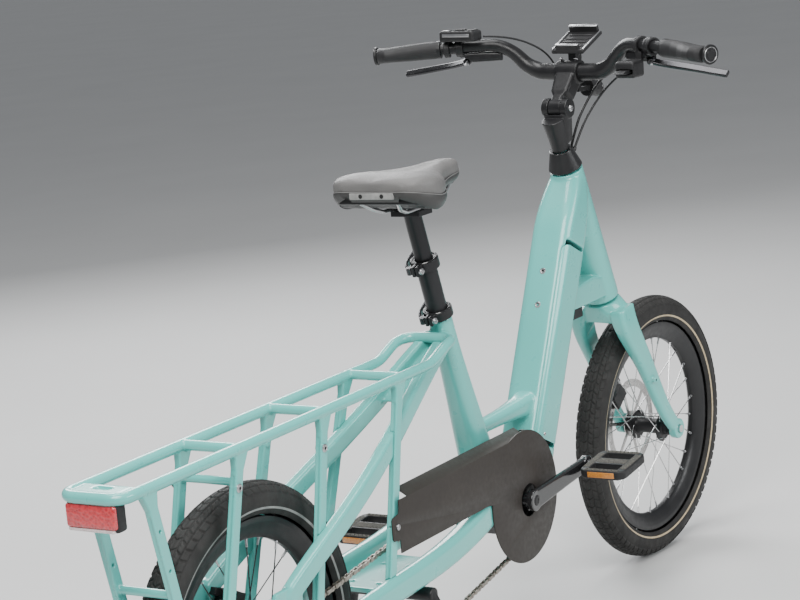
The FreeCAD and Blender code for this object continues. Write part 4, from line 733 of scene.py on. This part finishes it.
def chain_line():
    """The chain's pitch line as close points (x, z), once round its four wheels."""
    wheels_ = [(Vector(CRANK), pitch_radius(42)), (Vector((0, 262)), pitch_radius(21)),
               (Vector((24, 192)), -pitch_radius(11)), (Vector((58, 116)), pitch_radius(11))]
    headings = []
    for (first, r1), (second, r2) in zip(wheels_, wheels_[1:] + wheels_[:1]):
        across = second - first
        headings.append(math.atan2(across.y, across.x) - math.asin((r2 - r1) / across.length))
    line = []
    for i, (centre, radius) in enumerate(wheels_):
        arrive, leave = headings[i - 1], headings[i]
        turn = (leave - arrive) % (2 * math.pi)
        if radius < 0:
            turn -= 2 * math.pi
        steps = max(4, int(abs(turn * radius)))
        for k in range(steps + 1):
            angle = arrive + turn * k / steps
            line.append(centre + Vector((math.sin(angle), -math.cos(angle))) * radius)
        follower, r2 = wheels_[(i + 1) % 4]
        landing = follower + Vector((math.sin(leave), -math.cos(leave))) * r2
        gap = landing - line[-1]
        count = int(gap.length / 2)
        line += [line[-1] + gap * (k / count) for k in range(1, count)]
    return line


def evenly(line, spacing):
    """Points at equal distances along a closed line, an even number of them."""
    closed = line + line[:1]
    lengths = [0.0]
    for a, b in zip(closed, closed[1:]):
        lengths.append(lengths[-1] + (b - a).length)
    count = 2 * round(lengths[-1] / spacing / 2)
    made, at = [], 0
    for i in range(count):
        wanted = lengths[-1] * i / count
        while lengths[at + 1] < wanted:
            at += 1
        share = (wanted - lengths[at]) / max(lengths[at + 1] - lengths[at], 1e-9)
        made.append(closed[at] + (closed[at + 1] - closed[at]) * share)
    return made


def link_plate(start, end, y, thick, radius=4.1, waist=2.7):
    """One waisted side plate between two pins."""
    along = (end - start).normalized()
    up = Vector((-along.y, along.x))
    outline = []
    for k in range(9):
        angle = math.pi / 2 + math.radians(22) + (math.pi - math.radians(44)) * k / 8
        outline.append(start + (along * math.cos(angle) + up * math.sin(angle)) * radius)
    middle = (start + end) / 2
    outline.append(middle - up * waist)
    for k in range(9):
        angle = -math.pi / 2 + math.radians(22) + (math.pi - math.radians(44)) * k / 8
        outline.append(end + (along * math.cos(angle) + up * math.sin(angle)) * radius)
    outline.append(middle + up * waist)
    count = len(outline)
    verts = [place(p.x, y + side * thick / 2, p.y) for side in (-1, 1) for p in outline]
    faces = [tuple(range(count)), tuple(reversed(range(count, 2 * count)))]
    faces += [(k, k + count, (k + 1) % count + count, (k + 1) % count) for k in range(count)]
    return verts, faces


def make_chain():
    pins = evenly(chain_line(), LINK)
    plates, rollers = [], []
    for i, (start, end) in enumerate(zip(pins, pins[1:] + pins[:1])):
        reach = 3.3 if i % 2 else 2.2
        plates += [link_plate(start, end, CHAIN_Y + side * reach, 0.95) for side in (-1, 1)]
        rollers.append(capped_turn(place(start.x, CHAIN_Y, start.y), LEFT, [
            (1.6, -4.3), (1.9, -4.0), (1.9, -1.7), (3.8, -1.6), (3.8, 1.6), (1.9, 1.7),
            (1.9, 4.0), (1.6, 4.3)], 10))
    simple("chain_links", merged(plates + rollers), "chain_steel", "frame", ("chain",))


def pedal(node, side):
    """A resin pedal's gritty grip faces, with studs, and its amber reflectors."""
    rise = math.radians(CRANK_RISE)
    reach = -side * 170.0
    end = (CRANK[0] + reach * math.cos(rise), CRANK[1] + reach * math.sin(rise))
    centre = place(end[0], side * 153.0, end[1])
    lean = math.radians(6)
    ahead = Vector((math.cos(lean), 0, math.sin(lean)))
    above = Vector((-math.sin(lean), 0, math.cos(lean)))
    axes = (ahead, LEFT, above)

    def at(x, y, z):
        return centre + (ahead * x + LEFT * y + above * z) * MM

    pads, studs, reflectors = [], [], []
    for top in (1, -1):
        for x, y, half in ((-44, 0, (4.4, 33, 0.7)), (44, 0, (4.4, 33, 0.7)),
                           (0, -36, (34, 6.0, 0.7)), (0, 36, (34, 6.0, 0.7)),
                           (0, 0, (9.5, 28, 0.7))):
            pads.append(rounded_slab(at(x, y, top * 7.9), axes, half, 0.5, 2))
        for x in (-44, 44):
            studs += [capped_turn(at(x, y, top * 8.3), above * top,
                                  [(1.3, 0), (1.1, 1.3), (0.7, 1.6)], 8)
                      for y in range(-28, 29, 8)]
    for x in (-49.6, 49.6):
        reflectors.append(rounded_slab(at(x, 0, 0), axes, (1.6, 26, 5.2), 1.0, 2))
    simple(node + "_body_grit", merged(pads + studs), "pedal_grit", node)
    simple(node + "_body_reflectors", merged(reflectors), "amber_lens", node)


def drive_train():
    make_chain()
    bolts = [screw(place(CRANK[0], side * 87.4, CRANK[1]), LEFT * side, 9.5, 1.6)
             for side in (-1, 1)]
    simple("crank_bolts", merged(bolts), "black_satin", "crankset")
    pedal("pedal_right", -1)
    pedal("pedal_left", 1)
    head = screw(place(322, -75.5, 371), -LEFT, 4.8, 1.2)
    simple("guard_screw_head", head, "silver_satin", "frame")


# ------------------------------------------------------------------ cockpit

BAR_HALF = [(1150, 0, 998, 15.9), (1150, 40, 998, 15.9), (1149, 66, 1000, 15.4),
            (1145, 90, 1012, 14.2), (1137, 112, 1034, 13.0), (1126, 134, 1048, 12.0),
            (1112, 160, 1052, 11.3), (1078, 237, 1048, 11.1), (1028, 353, 1041, 11.1)]
GRIP_START, GRIP_END = Vector((1078, 237, 1048)), Vector((1028, 353, 1041))
STEM_PIVOT, BAR_MIDDLE = Vector((1099, 0, 937)), Vector((1150, 0, 998))
HEAD_TOP, HEAD_FORWARD = Vector((1115, 0, 825)), toward(21.5)


def sided(vector, side):
    return Vector((vector[0], vector[1] * side, vector[2]))


def steer_turn(vector):
    return (STEER.to_3x3() @ Vector(vector)).normalized()


def on_steered(vector):
    return steered(*vector)


def handlebar():
    whole = [(x, -y, z, r) for x, y, z, r in reversed(BAR_HALF[1:])] + BAR_HALF
    line = curve_points([steered(x, y, z) for x, y, z, _ in whole], 8)
    radii = [radius * MM for radius in curve_values([r for *_, r in whole], 8)]
    simple("bar", tube(line, radii, 32), "black_satin", "handlebar", ("handlebar",),
           60)


def oval_tube(line, across, up, sizes):
    """Oval rings, each a (width, height, shift across), as a skin closed at both ends."""
    sides, power = 36, 2.4
    verts = []
    for point, (width, height, shift) in zip(line, sizes):
        for k in range(sides):
            angle = 2 * math.pi * k / sides
            c, s = math.cos(angle), math.sin(angle)
            a = math.copysign(abs(c) ** (2 / power), c) * width / 2 + shift
            b = math.copysign(abs(s) ** (2 / power), s) * height / 2
            verts.append(point + (across * a + up * b) * MM)
    return verts, ring_faces(len(line), sides) + end_faces(len(line), sides)


def grips():
    rubber, collars, caps, cap_rings = [], [], [], []
    for side in (-1, 1):
        start, end = sided(GRIP_START, side), sided(GRIP_END, side)
        along = (end - start).normalized()
        back = (Vector((-1, 0, 0)) - along * along.dot(Vector((-1, 0, 0)))).normalized()
        up = back.cross(along)
        up = up if up.z > 0 else -up
        back_w, up_w, along_w = (steer_turn(v) for v in (back, up, along))
        count = 90
        line, sizes = [], []
        for i in range(count):
            share = i / (count - 1)
            width = np.interp(share, (0, 0.1, 0.3, 0.5, 0.7, 0.85, 0.95, 1),
                              (31, 33.5, 34.5, 38, 45, 49, 46, 38))
            height = np.interp(share, (0, 0.1, 0.5, 0.8, 0.95, 1), (31, 32.5, 31, 28, 29, 30))
            shift = np.interp(share, (0, 0.3, 0.5, 0.7, 0.85, 1), (0, 1, 3, 7, 8.5, 4))
            edge = -2.4 * max(0, 1 - share / 0.02) - 3.0 * max(0, 1 - (1 - share) / 0.03)
            line.append(on_steered(start + (end - start) * (share * 0.955)))
            sizes.append((width + edge, height + edge, shift))
        rubber.append(oval_tube(line, back_w, up_w, sizes))
        collars.append(capped_turn(on_steered(start - along * 0.6), along_w, [
            (15.4, 0), (16.6, 0.8), (16.6, 7.2), (15.6, 8.0)], 40))
        foot = on_steered(end - along * 4.2)
        caps.append(capped_turn(foot, along_w, [
            (16.6, 0), (17.4, 0.8), (17.4, 4.6), (16.2, 5.8), (14.6, 5.8), (14.0, 5.0),
            (8.0, 5.0), (7.4, 5.9), (3.0, 6.2), (0.4, 6.3)], 48))
        cap_rings.append(turned(foot, along_w, [(13.6, 5.4), (13.2, 6.0), (12.6, 6.0),
                                                (12.2, 5.4)], 48))
    simple("grip_rubbers", merged(rubber), "grip_rubber", "handlebar", ("grips",),
           30)
    simple("grip_collars", merged(collars), "black_satin", "handlebar")
    simple("grip_caps", merged(caps), "black_satin", "handlebar")
    simple("grip_cap_rings", merged(cap_rings), "silver_satin", "handlebar")


def stem():
    y_axis = steer_turn(LEFT)
    bolts = [screw(on_steered(STEM_PIVOT + LEFT * (side * 26.5)), y_axis * side, 6.2, 3.4)
             for side in (-1, 1)]
    simple("stem_pivot_bolts", merged(bolts), "silver_satin", "fork")
    rise = (BAR_MIDDLE - STEM_PIVOT).normalized()
    ahead = Vector((rise.z, 0, -rise.x))
    faces = [screw(on_steered(BAR_MIDDLE + ahead * lift + rise * 15 + LEFT * y),
                   steer_turn(rise), 3.6, 3.2) for y in (-15, 15) for lift in (-17.55, 17.55)]
    simple("stem_clamp_bolts", merged(faces), "silver_satin", "handlebar")
    seam = turned(on_steered(HEAD_TOP) + HEAD_AXIS * (36.8 * MM), HEAD_AXIS, [
        (20.6, 0), (21.2, 0.3), (21.2, 0.8), (20.6, 1.1)], 48)
    simple("spacer_ring", seam, "black_gloss", "fork")


LEVER_PIVOT = Vector((1104, 196, 1023))
LEVER_AXIS = Vector((0.62, -0.34, 0.71)).normalized()
RESERVOIR = (Vector((1114, 172, 1031)), Vector((1134, 136, 1030)))
REMOTE = Vector((1073, 188, 1074))


def controls():
    along = (RESERVOIR[1] - RESERVOIR[0]).normalized()
    flat = Vector((along.y, -along.x, 0)).normalized()
    middle = (RESERVOIR[0] + RESERVOIR[1]) / 2 - FORWARD * 3
    for side, name in ((1, "lever_left"), (-1, "lever_right")):
        pin = capped_turn(on_steered(sided(LEVER_PIVOT, side)),
                          steer_turn(sided(LEVER_AXIS, side)),
                          [(2.2, -9.6), (2.9, -9.2), (2.9, 9.2), (2.2, 9.6)], 20)
        simple(name + "_pin", pin, "silver_satin", "handlebar")
        axes = tuple(steer_turn(sided(v, side)) for v in (along, flat, UP))
        lid = rounded_slab(on_steered(sided(middle + UP * 9.6, side)), axes, (17, 9.5, 1.5),
                           1.2, 2)
        simple(name + "_reservoir_lid", lid, "black_gloss", "handlebar")
        dots = [screw(on_steered(sided(middle + along * k + UP * 10.8, side)),
                      steer_turn(UP), 1.9, 0.9) for k in (-12.5, 12.5)]
        simple(name + "_lid_screws", merged(dots), "silver_satin", "handlebar")
    axes = tuple(steer_turn(v) for v in (FORWARD, LEFT, UP))
    for name, offset, half, edge, material in (
            ("display", (0, 24, 10.2), (12, 9, 0.8), 0.6, "remote_face"),
            ("key", (0, -28, 10.3), (11, 5.5, 1.2), 0.9, "grip_rubber"),
            ("trim", (-17.2, 0, 2), (0.8, 30, 3.0), 0.6, "silver_satin")):
        shape = rounded_slab(on_steered(REMOTE + Vector(offset)), axes, half, edge, 2)
        simple("remote_" + name, shape, material, "handlebar")


CRADLE, CRADLE_LEAN = Vector((1180, 0, 1046)), math.radians(-22)
LAMP_FRONT, LAMP_BACK = Vector((1240, 0, 958)), Vector((1206, 0, 962))


def cradle_and_lamp():
    """The telephone holder with its pads and its silver lips, which paint highlights along its edges, and the
    lamp's ringed lens.
    """
    ahead = Vector((math.cos(CRADLE_LEAN), 0, -math.sin(CRADLE_LEAN)))
    above = Vector((math.sin(CRADLE_LEAN), 0, math.cos(CRADLE_LEAN)))
    axes = tuple(steer_turn(v) for v in (ahead, LEFT, above))

    def at(x, y, z):
        return on_steered(CRADLE + ahead * x + LEFT * y + above * z)

    pads = [rounded_slab(at(x, 0, 8.3), axes, (2.2, 24, 1.1), 0.8, 2) for x in (-22, -8, 6, 20)]
    simple("cradle_pads", merged(pads), "grip_rubber", "handlebar")
    # The silver lips are painted highlight: bright metal strips where the holder's edges catch the light.
    highlight_lips = [rounded_slab(at(0, y, 8.6), axes, (37, 1.3, 1.4), 1.0, 2) for y in (-32.2, 32.2)]
    highlight_lips.append(rounded_slab(at(34.5, 0, 20.6), axes, (4.2, 30, 1.0), 0.8, 2))
    highlight_lips.append(rounded_slab(at(-35.2, 0, 17.4), axes, (3.4, 24, 0.9), 0.7, 2))
    simple("cradle_lip_highlights", merged(highlight_lips), "silver_satin", "handlebar")
    forward = (LAMP_FRONT - LAMP_BACK).normalized()
    axis, front = steer_turn(forward), on_steered(LAMP_FRONT - forward)
    lens = turned(front, axis, [(13.4, 0.4), (13.0, 2.4), (9.0, 3.6), (4.0, 4.2), (0.01, 4.4)], 40)
    simple("lamp_lens_disc", lens, "lamp_lens", "handlebar")
    ring = turned(front, axis, [(15.9, -1), (16.6, 0), (16.4, 2.2), (14.0, 2.8), (13.2, 1.2)], 40)
    simple("lamp_ring", ring, "black_gloss", "handlebar")


def nurbs_line(points, steps=10):
    """Points along a smooth NURBS line whose control points are the route's points."""
    data = bpy.data.curves.new("route", "CURVE")
    data.dimensions = "3D"
    data.resolution_u = steps
    spline = data.splines.new("NURBS")
    spline.points.add(len(points) - 1)
    for knot, point in zip(spline.points, points):
        knot.co = (*point, 1.0)
    spline.order_u = 3
    spline.use_endpoint_u = True
    holder = bpy.data.objects.new("route", data)
    bpy.context.scene.collection.objects.link(holder)
    bpy.context.view_layer.update()
    line = bpy.data.meshes.new_from_object(holder)
    made = [v.co.copy() for v in line.vertices]
    bpy.data.objects.remove(holder)
    bpy.data.meshes.remove(line)
    return made


def hose_end(across):
    """Where a hose meets the front of the cone, by its distance to the left."""
    height = 25.0
    flank = 32.0 + (21.0 - 32.0) * height / 37.0
    ahead = math.sqrt(flank ** 2 - across ** 2) + 3.4
    point = HEAD_TOP + HEAD_AXIS * height + HEAD_FORWARD * ahead
    return (point.x, across, point.z)


def hoses():
    routes = [
        (2.5, [(1137, 128, 1030), (1168, 98, 1020), (1187, 62, 1000), (1186, 32, 970),
               (1167, 18, 936), (1146, 11, 902), hose_end(6)]),
        (2.5, [(1137, -128, 1030), (1170, -98, 1018), (1190, -62, 998), (1190, -30, 968),
               (1169, -16, 934), (1147, -9, 901), hose_end(-4)]),
        (2.2, [(1112, -160, 1012), (1146, -124, 1002), (1176, -84, 986), (1184, -48, 958),
               (1166, -29, 924), (1146, -20, 894), hose_end(-13)]),
        (1.8, [(1078, 141, 1072), (1100, 116, 1070), (1138, 84, 1056), (1170, 58, 1030),
               (1184, 44, 990), (1172, 34, 948), (1150, 24, 908), hose_end(14)])]
    for number, (radius, points) in enumerate(routes):
        line = nurbs_line([on_steered(p) for p in points])
        shape = tube(line, [radius * MM] * len(line), 14)
        mesh = from_lists("hose_%d" % number, *shape)
        piece = finish_piece(mesh, "hose_%d" % number, "hose_rubber", None,
                             ("hoses",) if number == 0 else ())
        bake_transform(piece)
        end = on_steered(points[-1])
        away = (on_steered(points[-2]) - end).normalized()
        collar = capped_turn(end - away * (3 * MM), away, [
            (radius + 1.6, 0), (radius + 1.8, 2), (radius + 1.2, 5), (radius + 0.5, 8)], 18)
        simple("hose_%d_collar" % number, collar, "black_satin", "fork")


# ------------------------------------------------------- saddle and seatposts

SADDLE = [(446, 120, 880, 901), (458, 160, 874, 907), (480, 184, 866, 910),
          (508, 188, 860, 908), (540, 168, 862, 904), (575, 118, 866, 902),
          (612, 78, 869, 902), (650, 54, 871, 904), (685, 44, 874, 905), (703, 28, 880, 902)]


def smooth_stations(count):
    """The saddle's distance forwards, width, underside and top, at even steps of its outline."""
    xs = curve_values([s[0] for s in SADDLE], 12)
    columns = [curve_values([s[i] for s in SADDLE], 12) for i in (1, 2, 3)]
    lengths = np.cumsum([0] + [math.hypot(xs[i + 1] - xs[i], (columns[0][i + 1] - columns[0][i])
                                          / 2) for i in range(len(xs) - 1)])
    wanted = np.linspace(0, lengths[-1], count)
    return [[float(np.interp(t, lengths, column)) for column in [xs] + columns] for t in wanted]


def saddle_pad_mesh():
    """A crowned pad: a raised tail, a shallow channel, rounded over at its edge."""
    rings, sides = smooth_stations(72), 56
    verts = []
    for n, (x, width, low, high) in enumerate(rings):
        share = n / (len(rings) - 1)
        end = math.sin(min(1.0, (share + 0.012) / 0.05) * math.pi / 2)
        end *= math.sin(min(1.0, (1.012 - share) / 0.06) * math.pi / 2)
        middle = (low + high) / 2
        for k in range(sides):
            angle = 2 * math.pi * k / sides
            c, s = math.cos(angle), math.sin(angle)
            y = math.copysign(abs(c) ** 0.42, c) * width / 2 * (0.9 + 0.1 * end)
            half = (high - low) / 2 * (0.55 + 0.45 * end)
            z = middle + math.copysign(abs(s) ** 0.5, s) * half
            if s > 0:
                z -= 2.4 * math.exp(-(y / 11.0) ** 2) * min(1, share * 5) * (share < 0.75)
                z -= 2.6 * (abs(y) / (width / 2)) ** 3
            verts.append(place(x, y, z))
    faces = []
    for i in range(len(rings) - 1):
        for k in range(sides):
            m = (k + 1) % sides
            faces.append((i * sides + k, (i + 1) * sides + k, (i + 1) * sides + m, i * sides + m))
    faces.append(tuple(range(sides)))
    faces.append(tuple(reversed(range((len(rings) - 1) * sides, len(rings) * sides))))
    return from_lists("saddle_pad_shape", verts, faces)


def swelled(mesh, pressure, cap):
    """The pad after a short cloth simulation under pressure, no point moved beyond the cap."""
    solid = with_modifiers(mesh, [("REMESH", {"mode": "VOXEL", "voxel_size": 3.2 * MM})])
    before = np.empty(len(solid.vertices) * 3)
    solid.vertices.foreach_get("co", before)
    holder = bpy.data.objects.new("pad_cloth", solid)
    bpy.context.scene.collection.objects.link(holder)
    cloth = holder.modifiers.new("cloth", "CLOTH")
    cloth.settings.quality = 6
    cloth.settings.use_pressure = True
    cloth.settings.uniform_pressure_force = pressure
    cloth.settings.tension_stiffness = 60
    cloth.settings.compression_stiffness = 60
    cloth.settings.bending_stiffness = 8
    cloth.settings.effector_weights.gravity = 0
    for number in range(1, 13):
        bpy.context.scene.frame_set(number)
    result = bpy.data.meshes.new_from_object(
        holder.evaluated_get(bpy.context.evaluated_depsgraph_get()))
    bpy.data.objects.remove(holder)
    bpy.context.scene.frame_set(1)
    after = np.empty(len(result.vertices) * 3)
    result.vertices.foreach_get("co", after)
    move = (after - before).reshape(-1, 3)
    length = np.linalg.norm(move, axis=1, keepdims=True)
    move *= np.minimum(1.0, cap * MM / np.maximum(length, 1e-9))
    result.vertices.foreach_set("co", (before.reshape(-1, 3) + move).ravel())
    return with_modifiers(result, [("SMOOTH", {"factor": 0.5, "iterations": 3}),
                                   ("SUBSURF", {"levels": 1})])


def saddle_edge(inset, share, steps=72):
    """The saddle's outline at a share of its height, along the right side and back."""
    rings = smooth_stations(steps)

    def level(x):
        low = np.interp(x, [r[0] for r in rings], [r[2] for r in rings])
        high = np.interp(x, [r[0] for r in rings], [r[3] for r in rings])
        return low + (high - low) * share

    right = [(x, -(w / 2 - inset)) for x, w, _, _ in reversed(rings)]
    left = [(x, -y) for x, y in reversed(right)]
    tail = [(445.4 + inset, y) for y in np.linspace(right[-1][1], left[0][1], 18)[1:-1]]
    nose = [(703.6 - inset, y) for y in np.linspace(left[-1][1], right[0][1], 8)[1:-1]]
    return [Vector((x, y, level(x))) for x, y in right + tail + left + nose]


def saddle():
    mesh = saddle_pad_mesh()
    mesh = swelled(mesh, 3.0, 2.0)
    mesh.materials.clear()
    pad = finish_piece(mesh, "saddle_cushion", "saddle_cover", "post_upper", ("saddle_pad",))
    skirt_rows = []
    for inset, share in ((0.6, 0.26), (-0.7, 0.2), (-0.6, 0.05), (1.5, -0.08), (5.5, -0.2),
                         (10.0, -0.26)):
        skirt_rows.append([place(*point) for point in saddle_edge(inset, share)])
    skirt = (sum(skirt_rows, []), ring_faces(len(skirt_rows), len(skirt_rows[0])))
    simple("saddle_skirt", skirt, "saddle_side", "post_upper", (), 60)
    line = [place(*point) for point in saddle_edge(-0.5, 0.24)]
    piping = tube(line + line[:1], [0.6 * MM] * (len(line) + 1), 8, capped=False)
    simple("saddle_piping_0", piping, "saddle_piping", "post_upper")
    plate = rounded_slab(place(446.2, 0, 878.5), (FORWARD, LEFT, UP), (2.4, 42, 5.6), 2.0, 3)
    simple("saddle_tail_plate", plate, "grey_stripe", "post_upper")
    # Near-black discs of painted shade on the tail plate stand for its two holes.
    holes = [capped_turn(place(443.9, y, 878.5), -FORWARD, [(3.6, 0), (3.6, 0.3)], 24)
             for y in (-20, 20)]
    simple("saddle_tail_hole_shade", merged(holes), "hole_dark", "post_upper")


SEAT_TOP = place(622, 0, 645)
SEAT_BACK = Vector((-SEAT_UP.z, 0, SEAT_UP.x))


def clamps():
    """The nut, rod and lip of the two quick-release clamps on the seatposts."""
    for name, holder, base, height in (("seat_lever", "frame", 1.0, 16.0),
                                       ("post_lever", "post_lower", 94.0, 18.0)):
        centre = SEAT_TOP + (SEAT_UP * (base + height / 2) + SEAT_BACK * 30) * MM
        nut = capped_turn(centre - LEFT * (7 * MM), -LEFT, [
            (5.4, 0), (5.8, 0.6), (5.8, 4.0), (5.0, 5.0), (2.6, 5.2), (2.6, 7.0), (2.0, 7.6)], 24)
        rod = capped_turn(centre - LEFT * (7.5 * MM), LEFT, [(2.4, 0), (2.4, 15.3)], 16)
        simple(name + "_nut", merged([nut, rod]), "silver_satin", holder)
        lip = turned(SEAT_TOP + SEAT_UP * ((base + height) * MM), SEAT_UP, [
            (17.9, -0.6), (19.2, 0.9), (21.6, 0.9), (22.6, -0.4)], 48)
        simple(name + "_lip", lip, "black_gloss", holder)


# ------------------------------------------------------ plain nodes, light, camera

def dress(nodes, material):
    """Gives a CAD node that stays a finished material."""
    for node in nodes:
        data = frame["nodes"][node].data
        data.materials.clear()
        data.materials.append(LOOKS[material])


def stage():
    floor_mesh = from_lists("floor", [(-40, -40, 0), (40, -40, 0), (40, 40, 0), (-40, 40, 0)],
                            [(0, 1, 2, 3)])
    floor = bpy.data.objects.new("floor", floor_mesh)
    bpy.context.scene.collection.objects.link(floor)
    paper = look("pale_floor", (0.62, 0.62, 0.615), 0.75).mottle(
        1.5, 3, 0.3, 0.8, (0.65, 0.65, 0.645))
    floor_mesh.materials.append(paper.material)
    world = bpy.data.worlds.new("studio")
    world.use_nodes = True
    world.node_tree.nodes["Background"].inputs["Color"].default_value = (0.88, 0.91, 0.95, 1)
    world.node_tree.nodes["Background"].inputs["Strength"].default_value = 0.34
    bpy.context.scene.world = world
    for name, where, size, power, color in (
            ("key", (-2.6, -1.2, 3.4), (2.2, 2.2), 190, (1.0, 0.99, 0.97)),
            ("side", (0.9, -4.2, 2.2), (3.0, 1.6), 120, (0.97, 0.99, 1.0)),
            ("top", (0.2, 0.5, 4.2), (3.0, 1.4), 130, (1.0, 1.0, 1.0)),
            ("far", (2.6, 2.8, 2.6), (2.4, 1.6), 120, (0.98, 0.99, 1.0))):
        data = bpy.data.lights.new(name, "AREA")
        data.shape = "RECTANGLE"
        data.size, data.size_y = size
        data.energy = power
        data.color = color
        lamp = bpy.data.objects.new(name, data)
        bpy.context.scene.collection.objects.link(lamp)
        lamp.location = where
        aim = Vector((0.0, 0.0, 0.55)) - Vector(where)
        lamp.rotation_euler = aim.to_track_quat("-Z", "Y").to_euler()


def camera():
    """Behind and to the right of the bicycle, a little above its saddle."""
    yaw, pitch, roll = (math.radians(a) for a in (32.398, 10.434, 5.065))
    forward = Vector((math.cos(pitch) * math.cos(yaw), math.cos(pitch) * math.sin(yaw),
                      -math.sin(pitch)))
    right = forward.cross(UP).normalized()
    down = forward.cross(right)
    image_right = right * math.cos(roll) + down * math.sin(roll)
    image_down = down * math.cos(roll) - right * math.sin(roll)
    data = bpy.data.cameras.new("camera")
    data.sensor_width = 36.0
    data.lens = 99.0
    data.clip_end = 200
    seen = bpy.data.objects.new("camera", data)
    bpy.context.scene.collection.objects.link(seen)
    turn = Matrix((image_right, -image_down, -forward)).transposed().to_4x4()
    seen.matrix_world = Matrix.Translation((-3.1508, -1.895, 1.3491)) @ turn
    bpy.context.scene.camera = seen


for row in SKINS:
    skin(*row)
for row in MACHINED:
    machined(*row)
bosses()
rear_lamp()
wheels()
drive_train()
handlebar()
grips()
stem()
controls()
cradle_and_lamp()
hoses()
saddle()
clamps()
dress(("headset_bearings", "front_axle", "rear_axle"), "bright_steel")
dress(("guard_screws",), "silver_satin")
dress(("battery_pack",), "black_plastic")
stage()
camera()
